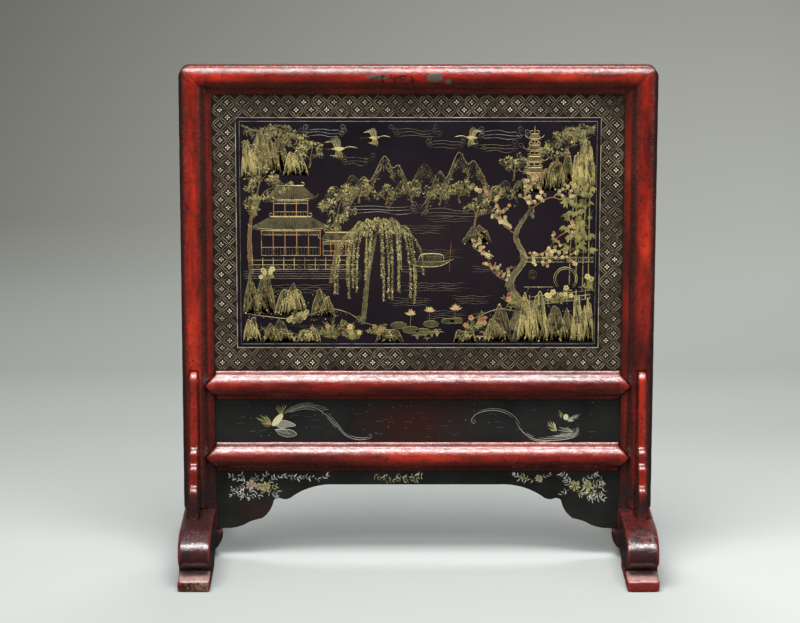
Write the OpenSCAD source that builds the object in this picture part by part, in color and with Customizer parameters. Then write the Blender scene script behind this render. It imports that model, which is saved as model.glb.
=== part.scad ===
// Lacquered table screen: a picture panel, a waist panel and a waved apron
// held by a moulded frame that stands on two shoe feet with standing spandrels.
// X runs along the screen, Y from front to back, Z up; the front faces -Y.
// The origin lies on the floor under the middle of the screen.

/* [Frame] */
// Width over the two posts
screen_w = 500; // [440:5:620]
// Height of the screen above the floor
screen_h = 532; // [480:2:640]
// Height of the top rail, whose section is that of the posts drawn in to this
top_rail_h = 30.5; // [28:0.5:36]
// Width of the rounded moulding on the posts
roll_w = 25; // [22:0.5:30]
// Depth of the posts and the top rail at the crown of the moulding
frame_t = 32; // [30:0.5:40]
// Rise of the crown above the edges of the moulding
roll_crown = 6.5; // [4:0.5:7]
// Width of the narrow bead beside the moulding
bead_w = 2; // [1.5:0.25:3]
// Depth of the frame at the bead
bead_t = 17; // [15:0.5:18]
// Width of the sunk strip between the bead and the lip
quirk_w = 1.5; // [1:0.25:2.5]
// Depth of the frame in the sunk strip
quirk_t = 12.5; // [11:0.5:14.5]
// Width of the sloped lip that borders each opening
lip_w = 6; // [5:0.5:9]
// Depth of the frame at the outer edge of the lip
lip_t = 16; // [14:0.5:17]
// Depth of the frame where the lip slopes down to the opening
lip_edge_t = 11.5; // [11:0.5:13.5]
// Radius of the two outer top corners
corner_r = 8; // [3:0.5:12]

/* [Rails] */
// Height of the upper rail's centre line
upper_rail_z = 189.5; // [175:0.5:230]
// Height of the lower rail's centre line
lower_rail_z = 110.5; // [105:0.5:125]
// Height of the rounded moulding on the two rails
rail_roll_h = 22; // [18:0.5:26]
// Depth of the two rails at the crown of the moulding
rail_t = 30; // [26:0.5:32]
// Width of the sunk strip on each side of a rail's moulding
rail_quirk_h = 1.5; // [1:0.5:3]
// Height of the sloped lip above and below a rail's moulding
rail_lip_h = 4; // [4:0.5:7]

/* [Boards] */
// Thickness of the picture panel, the waist panel and the apron
board_t = 8; // [6:0.5:10]
// Depth of the grooves that hold the boards
groove_d = 5; // [3:0.5:5]
// Clearance of a board in its groove, on each side and at the bottom
board_gap = 0.2; // [0.1:0.05:0.3]
// Height of the apron's edge above the floor at mid span
apron_mid_z = 79; // [66:1:86]
// Distance from the post's lip to the end of the apron's flat middle stretch
apron_scroll_w = 128; // [110:1:150]

/* [Joinery] */
// Thickness of the tenons of the rails
tenon_t = 10; // [8:0.5:12]
// Height of the tenons of the rails
tenon_h = 14; // [10:0.5:16]
// Height of the tenons of the top rail inside the mitred corners
mitre_tenon_h = 11; // [8:0.5:13]
// Wood left between a blind tenon and the outer face of the frame
tenon_cover = 8; // [6:0.5:10]
// Clearance around a tenon in its mortise
tenon_gap = 0.15; // [0.1:0.05:0.3]
// Width of the tenon below each post, along the screen
foot_tenon_w = 14; // [10:0.5:16]
// Depth of the tenon below each post, front to back
foot_tenon_d = 20; // [16:0.5:22]
// Thickness of the wedge at its driven end
wedge_t = 4; // [3:0.5:5]
// Thickness of the wedge at its tip
wedge_tip_t = 1.2; // [0.8:0.1:2]
// Length of the wedge
wedge_len = 24; // [18:1:30]

/* [Feet] */
// Length of a foot, front to back
foot_len = 258; // [240:2:300]
// Width of a foot
foot_w = 34; // [32:0.5:40]
// Height of the flat top of a foot, which carries the post
foot_top_z = 55; // [50:0.5:60]
// Height of the toe
toe_h = 12; // [9:0.5:14]
// Length of the toe, from its front to the notch below the drum
toe_len = 32; // [26:1:36]
// Rounding of the toe's upper front edge
toe_r = 3; // [2:0.5:6]
// Slope of the toe's top, as a rise up to the notch
toe_rise = 2; // [0.5:0.5:4]
// Setback of the drum's front from the front of the toe
drum_setback = 9; // [5:0.5:14]
// Height at which the drum stands furthest forward
drum_z = 34; // [30:0.5:38]
// Width of the arch below a foot
arch_w = 84; // [60:2:100]
// Height of the arch below a foot
arch_h = 10; // [6:0.5:12]
// Radius of the corners of the arch
arch_r = 8; // [4:0.5:10]
// Height of the cheek that carries the post's lip and the apron's end
cheek_z = 30; // [26:0.5:34]
// Reach of the cheek beyond the inner side of the foot
cheek_reach = 7; // [4:0.5:10]
// Plan radius of the cheek
cheek_r = 24; // [20:1:30]

/* [Spandrels] */
// Thickness of a standing spandrel
spandrel_t = 10.5; // [8:0.5:12]
// Height of the top of a spandrel above the floor
spandrel_top_z = 207; // [184:1:215]
// Reach of a spandrel's base from the face of the post
spandrel_reach = 36; // [33:1:44]
// Reach of a spandrel's slender upper run from the face of the post
spandrel_stem = 13; // [12:0.5:15]
// Depth of the housings that seat a spandrel in the post and in the foot
housing_d = 2.5; // [2:0.25:4]
// Clearance of a spandrel in its housings
housing_gap = 0.15; // [0.1:0.05:0.3]
// Thickness of the loose tenons that hold a spandrel
loose_tenon_t = 5; // [4:0.5:6]
// Width of the loose tenons
loose_tenon_w = 14; // [12:1:16]
// Length of the loose tenons, half in each piece
loose_tenon_len = 16; // [12:1:18]
// Height of the loose tenon in the post
loose_tenon_z = 150; // [140:1:160]
// Distance of the loose tenon in the foot from the face of the post
loose_tenon_y = 19; // [17:1:21]

/* [Hidden] */

red_lacquer = "#8E2417";
black_lacquer = "#241D21";
bare_wood = "#A98A5E";

// Facets per true circle, and steps per arc of a bulged outline
$fn = 96;
arc_steps = 16;
// How far a cutting shape runs past the face that it cuts
past = 1;
// How far the arc of an outer corner runs past the two faces that it joins
corner_past = 0.1;

half_w = screen_w / 2;
member_w = roll_w + bead_w + quirk_w + lip_w;
roll_x = half_w - roll_w / 2;
roll_edge_x = half_w - roll_w;
open_x = half_w - member_w;
open_top_z = screen_h - top_rail_h;
top_k = top_rail_h / member_w;
rail_half = rail_roll_h / 2 + rail_quirk_h + rail_lip_h;
rail_point_x = open_x + rail_roll_h / 2;
tenon_end_x = half_w - tenon_cover;
groove_t = board_t + 2 * board_gap;
board_in = groove_d - board_gap;
seat_y = frame_t / 2 - housing_d;
seat_z = foot_top_z - housing_d;
spandrel_y = frame_t / 2 + spandrel_reach;
foot_in_x = half_w - foot_w;
foot_y = foot_len / 2;

// Radius of an arc over a chord of width w that rises by c
function crown_r(w, c) = (w * w / 4 + c * c) / (2 * c);

// Points along the arc from a to b; the third number of a is its bulge,
// which is the tangent of a quarter of the turn, positive to the left
function arc(a, b) =
    let (p = [a[0], a[1]], q = [b[0], b[1]], turn = 4 * atan(a[2]))
    abs(turn) < 0.01 ? [p] :
    let (
        d = q - p,
        c = (p + q) / 2 + [-d[1], d[0]] / (2 * tan(turn / 2)),
        r = p - c
    )
    [for (i = [0 : arc_steps - 1])
        let (t = turn * i / arc_steps)
        c + [r[0] * cos(t) - r[1] * sin(t), r[0] * sin(t) + r[1] * cos(t)]];

// An open outline through bulged nodes, up to and with the last node
function outline(n) =
    [for (i = [0 : len(n) - 1])
        each i == len(n) - 1 ? [[n[i][0], n[i][1]]] : arc(n[i], n[i + 1])];

// An outline mirrored left to right and run backwards
function mirrored(pts) = [for (i = [len(pts) - 1 : -1 : 0]) [-pts[i][0], pts[i][1]]];

// Flat strip from 0 to w, of depth t, with both faces crowned by c
module crowned_strip(w, t, c) {
    translate([0, c + past - t / 2])
        square([w, t - 2 * (c + past)]);
    for (side = [0, 1])
        mirror([0, side])
            translate([0, t / 2 - c])
                intersection() {
                    translate([0, -2 * past])
                        square([w, c + 3 * past]);
                    translate([w / 2, c - crown_r(w, c)])
                        circle(crown_r(w, c));
                }
}

// Lip of width w from 0 that slopes from its outer edge down to the opening
module sloped_lip(w) {
    polygon([
        [0, -lip_t / 2],
        [w, -lip_edge_t / 2],
        [w, lip_edge_t / 2],
        [0, lip_t / 2]
    ]);
}

// Section of the bead, sunk strip and lip beside a moulding's edge at 0;
// k draws all widths in
module lip_section(k) {
    difference() {
        union() {
            translate([0, -bead_t / 2])
                square([bead_w * k, bead_t]);
            translate([0, -quirk_t / 2])
                square([(bead_w + quirk_w) * k, quirk_t]);
            translate([(bead_w + quirk_w) * k, 0])
                sloped_lip(lip_w * k);
        }
        translate([(bead_w + quirk_w + lip_w) * k - groove_d, -groove_t / 2])
            square([groove_d + past, groove_t]);
    }
}

// Section of a post or the top rail, from its outer edge inwards; k draws all widths in
module member_section(k) {
    crowned_strip(roll_w * k, frame_t, roll_crown);
    translate([roll_w * k, 0])
        lip_section(k);
}

// Section of the lips of a cross rail, centred, with a groove in each edge
module rail_lip_section() {
    difference() {
        for (side = [0, 1])
            mirror([0, side])
                rotate(90) {
                    translate([0, -quirk_t / 2])
                        square([rail_roll_h / 2 + rail_quirk_h, quirk_t]);
                    translate([rail_roll_h / 2 + rail_quirk_h, 0])
                        sloped_lip(rail_lip_h);
                }
        for (side = [0, 1])
            mirror([0, side])
                translate([-groove_t / 2, rail_half - groove_d])
                    square([groove_t, groove_d + past]);
    }
}

// Flat shape in X and Z, extruded to a depth t about the middle plane
module upright(t) {
    rotate([90, 0, 0])
        linear_extrude(t, center = true)
            children();
}

// Flat shape in Y and Z, extruded to a width w from the plane X = x
module crosswise(x, w) {
    translate([x, 0, 0])
        rotate([90, 0, 90])
            linear_extrude(w)
                children();
}

// Block between two corners
module block(lo, hi) {
    translate(lo)
        cube(hi - lo);
}

// The waste outside the rounded top corner on the right
module corner_waste() {
    upright(frame_t + 2 * past)
        translate([half_w - corner_r + corner_past, screen_h - corner_r + corner_past])
            difference() {
                square(corner_r + past);
                circle(corner_r);
            }
}

// Triangle on one side of the mitre on the right: above it, or outside it
module mitre_waste(above) {
    inner = [open_x - past, open_top_z - past * top_k];
    outer = [half_w + past, screen_h + past * top_k];
    upright(frame_t + 2 * past)
        polygon([inner, outer, above ? [inner[0], outer[1]] : [outer[0], inner[1]]]);
}

// Pointed end plan of a cross rail's moulding at height z
module rail_plan(z) {
    polygon([
        [-rail_point_x, z],
        [-open_x, z - rail_roll_h / 2],
        [open_x, z - rail_roll_h / 2],
        [rail_point_x, z],
        [open_x, z + rail_roll_h / 2],
        [-open_x, z + rail_roll_h / 2]
    ]);
}

// Tenon of a cross rail at height z, or its mortise when grown by gap
module rail_tenon(z, gap) {
    block([open_x - past, -tenon_t / 2 - gap, z - tenon_h / 2 - gap],
          [tenon_end_x + gap, tenon_t / 2 + gap, z + tenon_h / 2 + gap]);
}

// Tenon of the top rail inside the mitred corner, or its mortise when grown by gap
module mitre_tenon(gap) {
    top_z = screen_h - tenon_cover;
    block([roll_edge_x, -tenon_t / 2 - gap, top_z - mitre_tenon_h - gap],
          [tenon_end_x + gap, tenon_t / 2 + gap, top_z + gap]);
}

// Tenon below the right post, or its mortise when grown by gap
module foot_tenon(gap) {
    block([roll_x - foot_tenon_w / 2 - gap, -foot_tenon_d / 2 - gap, arch_h - past * sign(gap)],
          [roll_x + foot_tenon_w / 2 + gap, foot_tenon_d / 2 + gap, foot_top_z + past * sign(gap)]);
}

// Wedge driven up into the tenon below the right post
module wedge() {
    crosswise(roll_x - foot_tenon_w / 2, foot_tenon_w)
        polygon([
            [-wedge_t / 2, arch_h],
            [wedge_t / 2, arch_h],
            [wedge_tip_t / 2, arch_h + wedge_len],
            [-wedge_tip_t / 2, arch_h + wedge_len]
        ]);
}

// Housing for the front spandrel, cut in the post and in the foot
module housing() {
    reach_x = spandrel_t / 2 + housing_gap;
    block([roll_x - reach_x, -frame_t / 2 - past, foot_top_z - past],
          [roll_x + reach_x, -seat_y, spandrel_top_z + housing_gap]);
    block([roll_x - reach_x, -spandrel_y - housing_gap, seat_z],
          [roll_x + reach_x, -seat_y + housing_gap, foot_top_z + past]);
}

// The two loose tenons of the front spandrel, or their mortises when grown by gap
module loose_tenons(gap) {
    half_t = loose_tenon_t / 2 + gap;
    half_w = loose_tenon_w / 2 + gap;
    half_len = loose_tenon_len / 2 + gap;
    foot_tenon_y = -frame_t / 2 - loose_tenon_y;
    block([roll_x - half_t, -seat_y - half_len, loose_tenon_z - half_w],
          [roll_x + half_t, -seat_y + half_len, loose_tenon_z + half_w]);
    block([roll_x - half_t, foot_tenon_y - half_w, seat_z - half_len],
          [roll_x + half_t, foot_tenon_y + half_w, seat_z + half_len]);
}

// Both the shape and its mirror image behind the middle plane
module front_and_back() {
    children();
    mirror([0, 1, 0])
        children();
}

// Both the shape and its mirror image on the left
module both_sides() {
    children();
    mirror([1, 0, 0])
        children();
}

// The right post: mitred above, with its lip running down inside the foot
module post() {
    color(red_lacquer)
        difference() {
            union() {
                translate([half_w, 0, foot_top_z])
                    mirror([1, 0, 0])
                        linear_extrude(screen_h - foot_top_z)
                            member_section(1);
                translate([roll_edge_x, 0, cheek_z])
                    mirror([1, 0, 0])
                        linear_extrude(foot_top_z - cheek_z)
                            lip_section(1);
                foot_tenon(0);
            }
            mitre_waste(true);
            corner_waste();
            mitre_tenon(tenon_gap);
            for (z = [upper_rail_z, lower_rail_z]) {
                upright(frame_t + 2 * past)
                    rail_plan(z);
                rail_tenon(z, tenon_gap);
            }
            front_and_back() {
                housing();
                loose_tenons(tenon_gap);
            }
            wedge();
        }
}

module left_post() {
    mirror([1, 0, 0])
        post();
}

module right_post() {
    post();
}

// Top rail, mitred into the posts at both ends
module top_rail() {
    color(red_lacquer) {
        difference() {
            translate([0, 0, screen_h])
                crosswise(-half_w, screen_w)
                    rotate(-90)
                        member_section(top_k);
            both_sides() {
                mitre_waste(false);
                corner_waste();
            }
        }
        both_sides()
            mitre_tenon(0);
    }
}

// Cross rail at height z: a moulding with pointed ends between two lips
module cross_rail(z) {
    color(red_lacquer) {
        translate([0, 0, z])
            crosswise(-open_x, 2 * open_x)
                rail_lip_section();
        intersection() {
            translate([0, 0, z - rail_roll_h / 2])
                crosswise(-rail_point_x, 2 * rail_point_x)
                    rotate(90)
                        crowned_strip(rail_roll_h, rail_t, roll_crown);
            upright(frame_t)
                rail_plan(z);
        }
        both_sides()
            rail_tenon(z, 0);
    }
}

module upper_rail() {
    cross_rail(upper_rail_z);
}

module lower_rail() {
    cross_rail(lower_rail_z);
}

// Board held in grooves all round, between the heights of two lips
module panel(z0, z1) {
    color(black_lacquer)
        block([-open_x - board_in, -board_t / 2, z0 - board_in],
              [open_x + board_in, board_t / 2, z1 + board_in]);
}

module main_panel() {
    panel(upper_rail_z + rail_half, open_top_z);
}

module waist_panel() {
    panel(lower_rail_z + rail_half, upper_rail_z - rail_half);
}

// Height on the apron's edge: 0 at the cheeks, 1 at mid span
function apron_z(f) = cheek_z + f * (apron_mid_z - cheek_z);

// Place along the apron's edge: 0 at the post's lip, 1 where the flat middle begins
function apron_x(f) = open_x - f * apron_scroll_w;

// Apron with a flat middle and two waved scrolls that run down the posts
module apron() {
    half = outline([
        [0, apron_mid_z, 0],
        [apron_x(1), apron_mid_z, -0.167],
        [apron_x(0.64), apron_z(0.735), 0.26],
        [apron_x(0.55), apron_z(0.67), -0.39],
        [apron_x(0.48), apron_z(0.64), 0.2],
        [apron_x(0.38), apron_z(0.23), -0.05],
        [apron_x(0.27), apron_z(0.145), 0.12],
        [apron_x(0.12), apron_z(0.01), 0],
        [open_x, apron_z(0), 0],
        [open_x + board_in, apron_z(0), 0]
    ]);
    top_z = lower_rail_z - rail_half + board_in;
    color(black_lacquer)
        upright(board_t)
            polygon(concat(
                half,
                [[open_x + board_in, top_z], [-open_x - board_in, top_z]],
                mirrored(half)
            ));
}

// Side outline of a foot: arch below, toe and drum in front and behind;
// the drum runs smoothly from its undercut round its front to the flat top
module foot_outline() {
    notch_z = toe_h + toe_rise;
    drum_y = drum_setback - foot_y;
    drum_h = foot_top_z - drum_z;
    half = outline([
        [0, arch_h, 0],
        [arch_r - arch_w / 2, arch_h, 0.41],
        [-arch_w / 2, arch_h - arch_r, 0],
        [-arch_w / 2, 0, 0],
        [-foot_y, 0, 0],
        [-foot_y, toe_h - toe_r, -0.41],
        [toe_r - foot_y, toe_h, 0],
        [toe_len - foot_y, notch_z, -0.025],
        [drum_y + 0.3 * (toe_len - drum_setback), notch_z + 0.4 * (drum_z - notch_z), -0.27],
        [drum_y, drum_z, -0.268],
        [drum_y + 0.38 * drum_h, drum_z + 0.66 * drum_h, -0.132],
        [drum_y + 1.65 * drum_h, foot_top_z, 0],
        [0, foot_top_z, 0]
    ]);
    polygon(concat(half, mirrored(half)));
}

// Cheek on the inner side of the right foot, from the arch up to the post's lip
module cheek() {
    intersection() {
        upright(2 * cheek_r)
            polygon(outline([
                [foot_in_x + past, cheek_z, 0],
                [foot_in_x - cheek_reach + past, cheek_z, 0.05],
                [foot_in_x - cheek_reach, (arch_h + cheek_z) / 2, 0.16],
                [foot_in_x, arch_h, 0],
                [foot_in_x + past, arch_h, 0]
            ]));
        translate([foot_in_x - cheek_reach + cheek_r, 0, 0])
            cylinder(h = cheek_z, r = cheek_r);
    }
}

// The right foot
module foot() {
    color(red_lacquer)
        difference() {
            union() {
                crosswise(foot_in_x, foot_w)
                    foot_outline();
                cheek();
            }
            block([foot_in_x - past, -bead_t / 2 - tenon_gap, cheek_z],
                  [roll_edge_x, bead_t / 2 + tenon_gap, foot_top_z + past]);
            foot_tenon(tenon_gap);
            front_and_back() {
                housing();
                loose_tenons(tenon_gap);
            }
        }
}

module left_foot() {
    mirror([1, 0, 0])
        foot();
}

module right_foot() {
    foot();
}

// Height on a spandrel's front edge: 0 at its base, 1 at its top
function spandrel_z(f) = foot_top_z + f * (spandrel_top_z - foot_top_z);

// Distance of a spandrel's front edge: 0 at the slender run, 1 at the base
function spandrel_front(f) =
    -frame_t / 2 - spandrel_stem - f * (spandrel_reach - spandrel_stem);

// The front spandrel on the right: a slender run that steps out in three lobes
module spandrel() {
    color(red_lacquer)
        difference() {
            crosswise(roll_x - spandrel_t / 2, spandrel_t)
                polygon(outline([
                    [-seat_y, spandrel_top_z, 0],
                    [-frame_t / 2 - 2, spandrel_top_z, 0.3],
                    [spandrel_front(0) + 3, spandrel_z(0.93), -0.03],
                    [spandrel_front(0), spandrel_z(0.47), 0.4],
                    [spandrel_front(0.33), spandrel_z(0.415), -0.1],
                    [spandrel_front(0.34), spandrel_z(0.366), 0.4],
                    [spandrel_front(0.66), spandrel_z(0.31), -0.1],
                    [spandrel_front(0.67), spandrel_z(0.222), 0.4],
                    [spandrel_front(1), spandrel_z(0.16), 0],
                    [-spandrel_y, seat_z, 0],
                    [-seat_y, seat_z, 0]
                ]));
            loose_tenons(tenon_gap);
        }
}

module front_right_spandrel() {
    spandrel();
}

module front_left_spandrel() {
    mirror([1, 0, 0])
        spandrel();
}

module back_right_spandrel() {
    mirror([0, 1, 0])
        spandrel();
}

module back_left_spandrel() {
    mirror([1, 0, 0])
        mirror([0, 1, 0])
            spandrel();
}

// Loose tenons hidden between the spandrels, the posts and the feet
module spandrel_tenons() {
    color(bare_wood)
        both_sides()
            front_and_back()
                loose_tenons(0);
}

// Wedges that spread the tenons of the posts inside the feet
module foot_wedges() {
    color(bare_wood)
        both_sides()
            wedge();
}

left_post();
right_post();
top_rail();
upper_rail();
lower_rail();
main_panel();
waist_panel();
apron();
left_foot();
right_foot();
front_left_spandrel();
front_right_spandrel();
back_left_spandrel();
back_right_spandrel();
spandrel_tenons();
foot_wedges();
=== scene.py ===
"""Dresses the lacquered table screen: softened coats of lacquer, gold painting and shell inlay."""
import math
import random

import bmesh
import bpy
import numpy as np
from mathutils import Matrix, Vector, noise


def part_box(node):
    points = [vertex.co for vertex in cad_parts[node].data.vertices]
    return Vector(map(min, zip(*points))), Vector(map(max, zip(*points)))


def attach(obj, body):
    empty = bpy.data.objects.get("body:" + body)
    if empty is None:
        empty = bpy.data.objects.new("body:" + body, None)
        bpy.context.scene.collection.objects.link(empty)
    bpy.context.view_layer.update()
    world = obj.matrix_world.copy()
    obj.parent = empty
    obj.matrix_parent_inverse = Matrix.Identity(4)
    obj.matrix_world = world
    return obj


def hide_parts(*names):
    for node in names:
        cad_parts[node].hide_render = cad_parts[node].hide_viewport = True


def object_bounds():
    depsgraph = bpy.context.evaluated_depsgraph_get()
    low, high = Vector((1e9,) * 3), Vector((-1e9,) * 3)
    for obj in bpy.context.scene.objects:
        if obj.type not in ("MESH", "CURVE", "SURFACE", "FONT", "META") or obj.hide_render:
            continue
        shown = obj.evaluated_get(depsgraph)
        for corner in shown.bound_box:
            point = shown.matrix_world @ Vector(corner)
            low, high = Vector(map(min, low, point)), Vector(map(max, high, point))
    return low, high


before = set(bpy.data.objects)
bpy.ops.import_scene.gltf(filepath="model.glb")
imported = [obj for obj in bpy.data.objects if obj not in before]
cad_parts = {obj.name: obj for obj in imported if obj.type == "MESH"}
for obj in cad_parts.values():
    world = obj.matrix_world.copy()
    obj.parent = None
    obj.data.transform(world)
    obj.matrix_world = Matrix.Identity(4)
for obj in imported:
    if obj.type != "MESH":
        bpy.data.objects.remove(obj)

cad_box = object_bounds()
MM = 0.001


# Colours and shader nodes

def colour(hex_code):
    """Linear colour of an sRGB hex value"""
    parts = [int(hex_code[i:i + 2], 16) / 255 for i in (1, 3, 5)]
    return tuple(p / 12.92 if p <= 0.04045 else ((p + 0.055) / 1.055) ** 2.4 for p in parts) + (1.0,)


def per_mm(size):
    """Texture scale that gives features of about this many millimetres"""
    return 1 / (size * MM)


def add(tree, kind, inputs=None, stops=None, **settings):
    """Adds a node with its settings, its constants and the links into it; a hex value becomes a colour"""
    node = tree.nodes.new(kind)
    for key, value in settings.items():
        setattr(node, key, value)
    for key, value in (inputs or {}).items():
        if isinstance(value, bpy.types.NodeSocket):
            tree.links.new(value, node.inputs[key])
        else:
            is_hex = isinstance(value, str) and value.startswith("#")
            node.inputs[key].default_value = colour(value) if is_hex else value
    if stops:
        elements = node.color_ramp.elements
        while len(elements) < len(stops):
            elements.new(1.0)
        for element, (place, tone) in zip(elements, stops):
            element.position = place
            element.color = colour(tone)
    return node


def new_material(name):
    """An empty material, its tree and the object's own coordinates in metres"""
    material = bpy.data.materials.new(name)
    material.use_nodes = True
    material.node_tree.nodes.clear()
    place = add(material.node_tree, "ShaderNodeTexCoord").outputs["Object"]
    return material, material.node_tree, place


def finish_material(tree, inputs):
    """Ends the tree with a shader of these inputs"""
    shader = add(tree, "ShaderNodeBsdfPrincipled", inputs)
    add(tree, "ShaderNodeOutputMaterial", {"Surface": shader.outputs[0]})


def patterns(tree, place, sizes):
    """Cloudy patterns by name, each from its size in mm, detail, roughness and, if wanted, a stretch"""
    made = {}
    for name, (size, detail, roughness, *stretch) in sizes.items():
        spot = place
        if stretch:
            spot = add(tree, "ShaderNodeMapping", {"Vector": place, "Scale": stretch[0]}).outputs[0]
        cloud = add(tree, "ShaderNodeTexNoise", {"Vector": spot, "Scale": per_mm(size), "Detail": detail,
                                                 "Roughness": roughness})
        made[name] = cloud.outputs["Fac"]
    return made


def cover(tree, *ranges):
    """How far a coat shows: the product of ranges (value, where it starts, where it is full, most, least)"""
    share = None
    for value, start, full, *ends in ranges:
        most, least = ends + [1.0, 0.0][len(ends):]
        part = add(tree, "ShaderNodeMapRange", {"Value": value, "From Min": start, "From Max": full,
                                                "To Min": least, "To Max": most}).outputs[0]
        if share is not None:
            part = add(tree, "ShaderNodeMath", {0: share, 1: part}, operation="MULTIPLY").outputs[0]
        share = part
    return share


def lay(tree, tone, coats):
    """Lays coats (colour, the ranges of its cover) over the tone, one after the other"""
    for coat, *ranges in coats:
        tone = add(tree, "ShaderNodeMix", {"Factor": cover(tree, *ranges), "A": tone, "B": coat},
                   data_type="RGBA").outputs["Result"]
    return tone


def reach_from(tree, place, centre, size, pattern):
    """Distance from the centre of a spot, one at its size, made ragged by a pattern"""
    shift = add(tree, "ShaderNodeMapping", {"Vector": place, "Scale": tuple(1 / s for s in size),
                                            "Location": tuple(-c / s for c, s in zip(centre, size))})
    reach = add(tree, "ShaderNodeVectorMath", {0: shift.outputs[0]}, operation="LENGTH")
    return add(tree, "ShaderNodeMath", {0: reach.outputs["Value"], 1: pattern}, operation="ADD").outputs[0]


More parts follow.
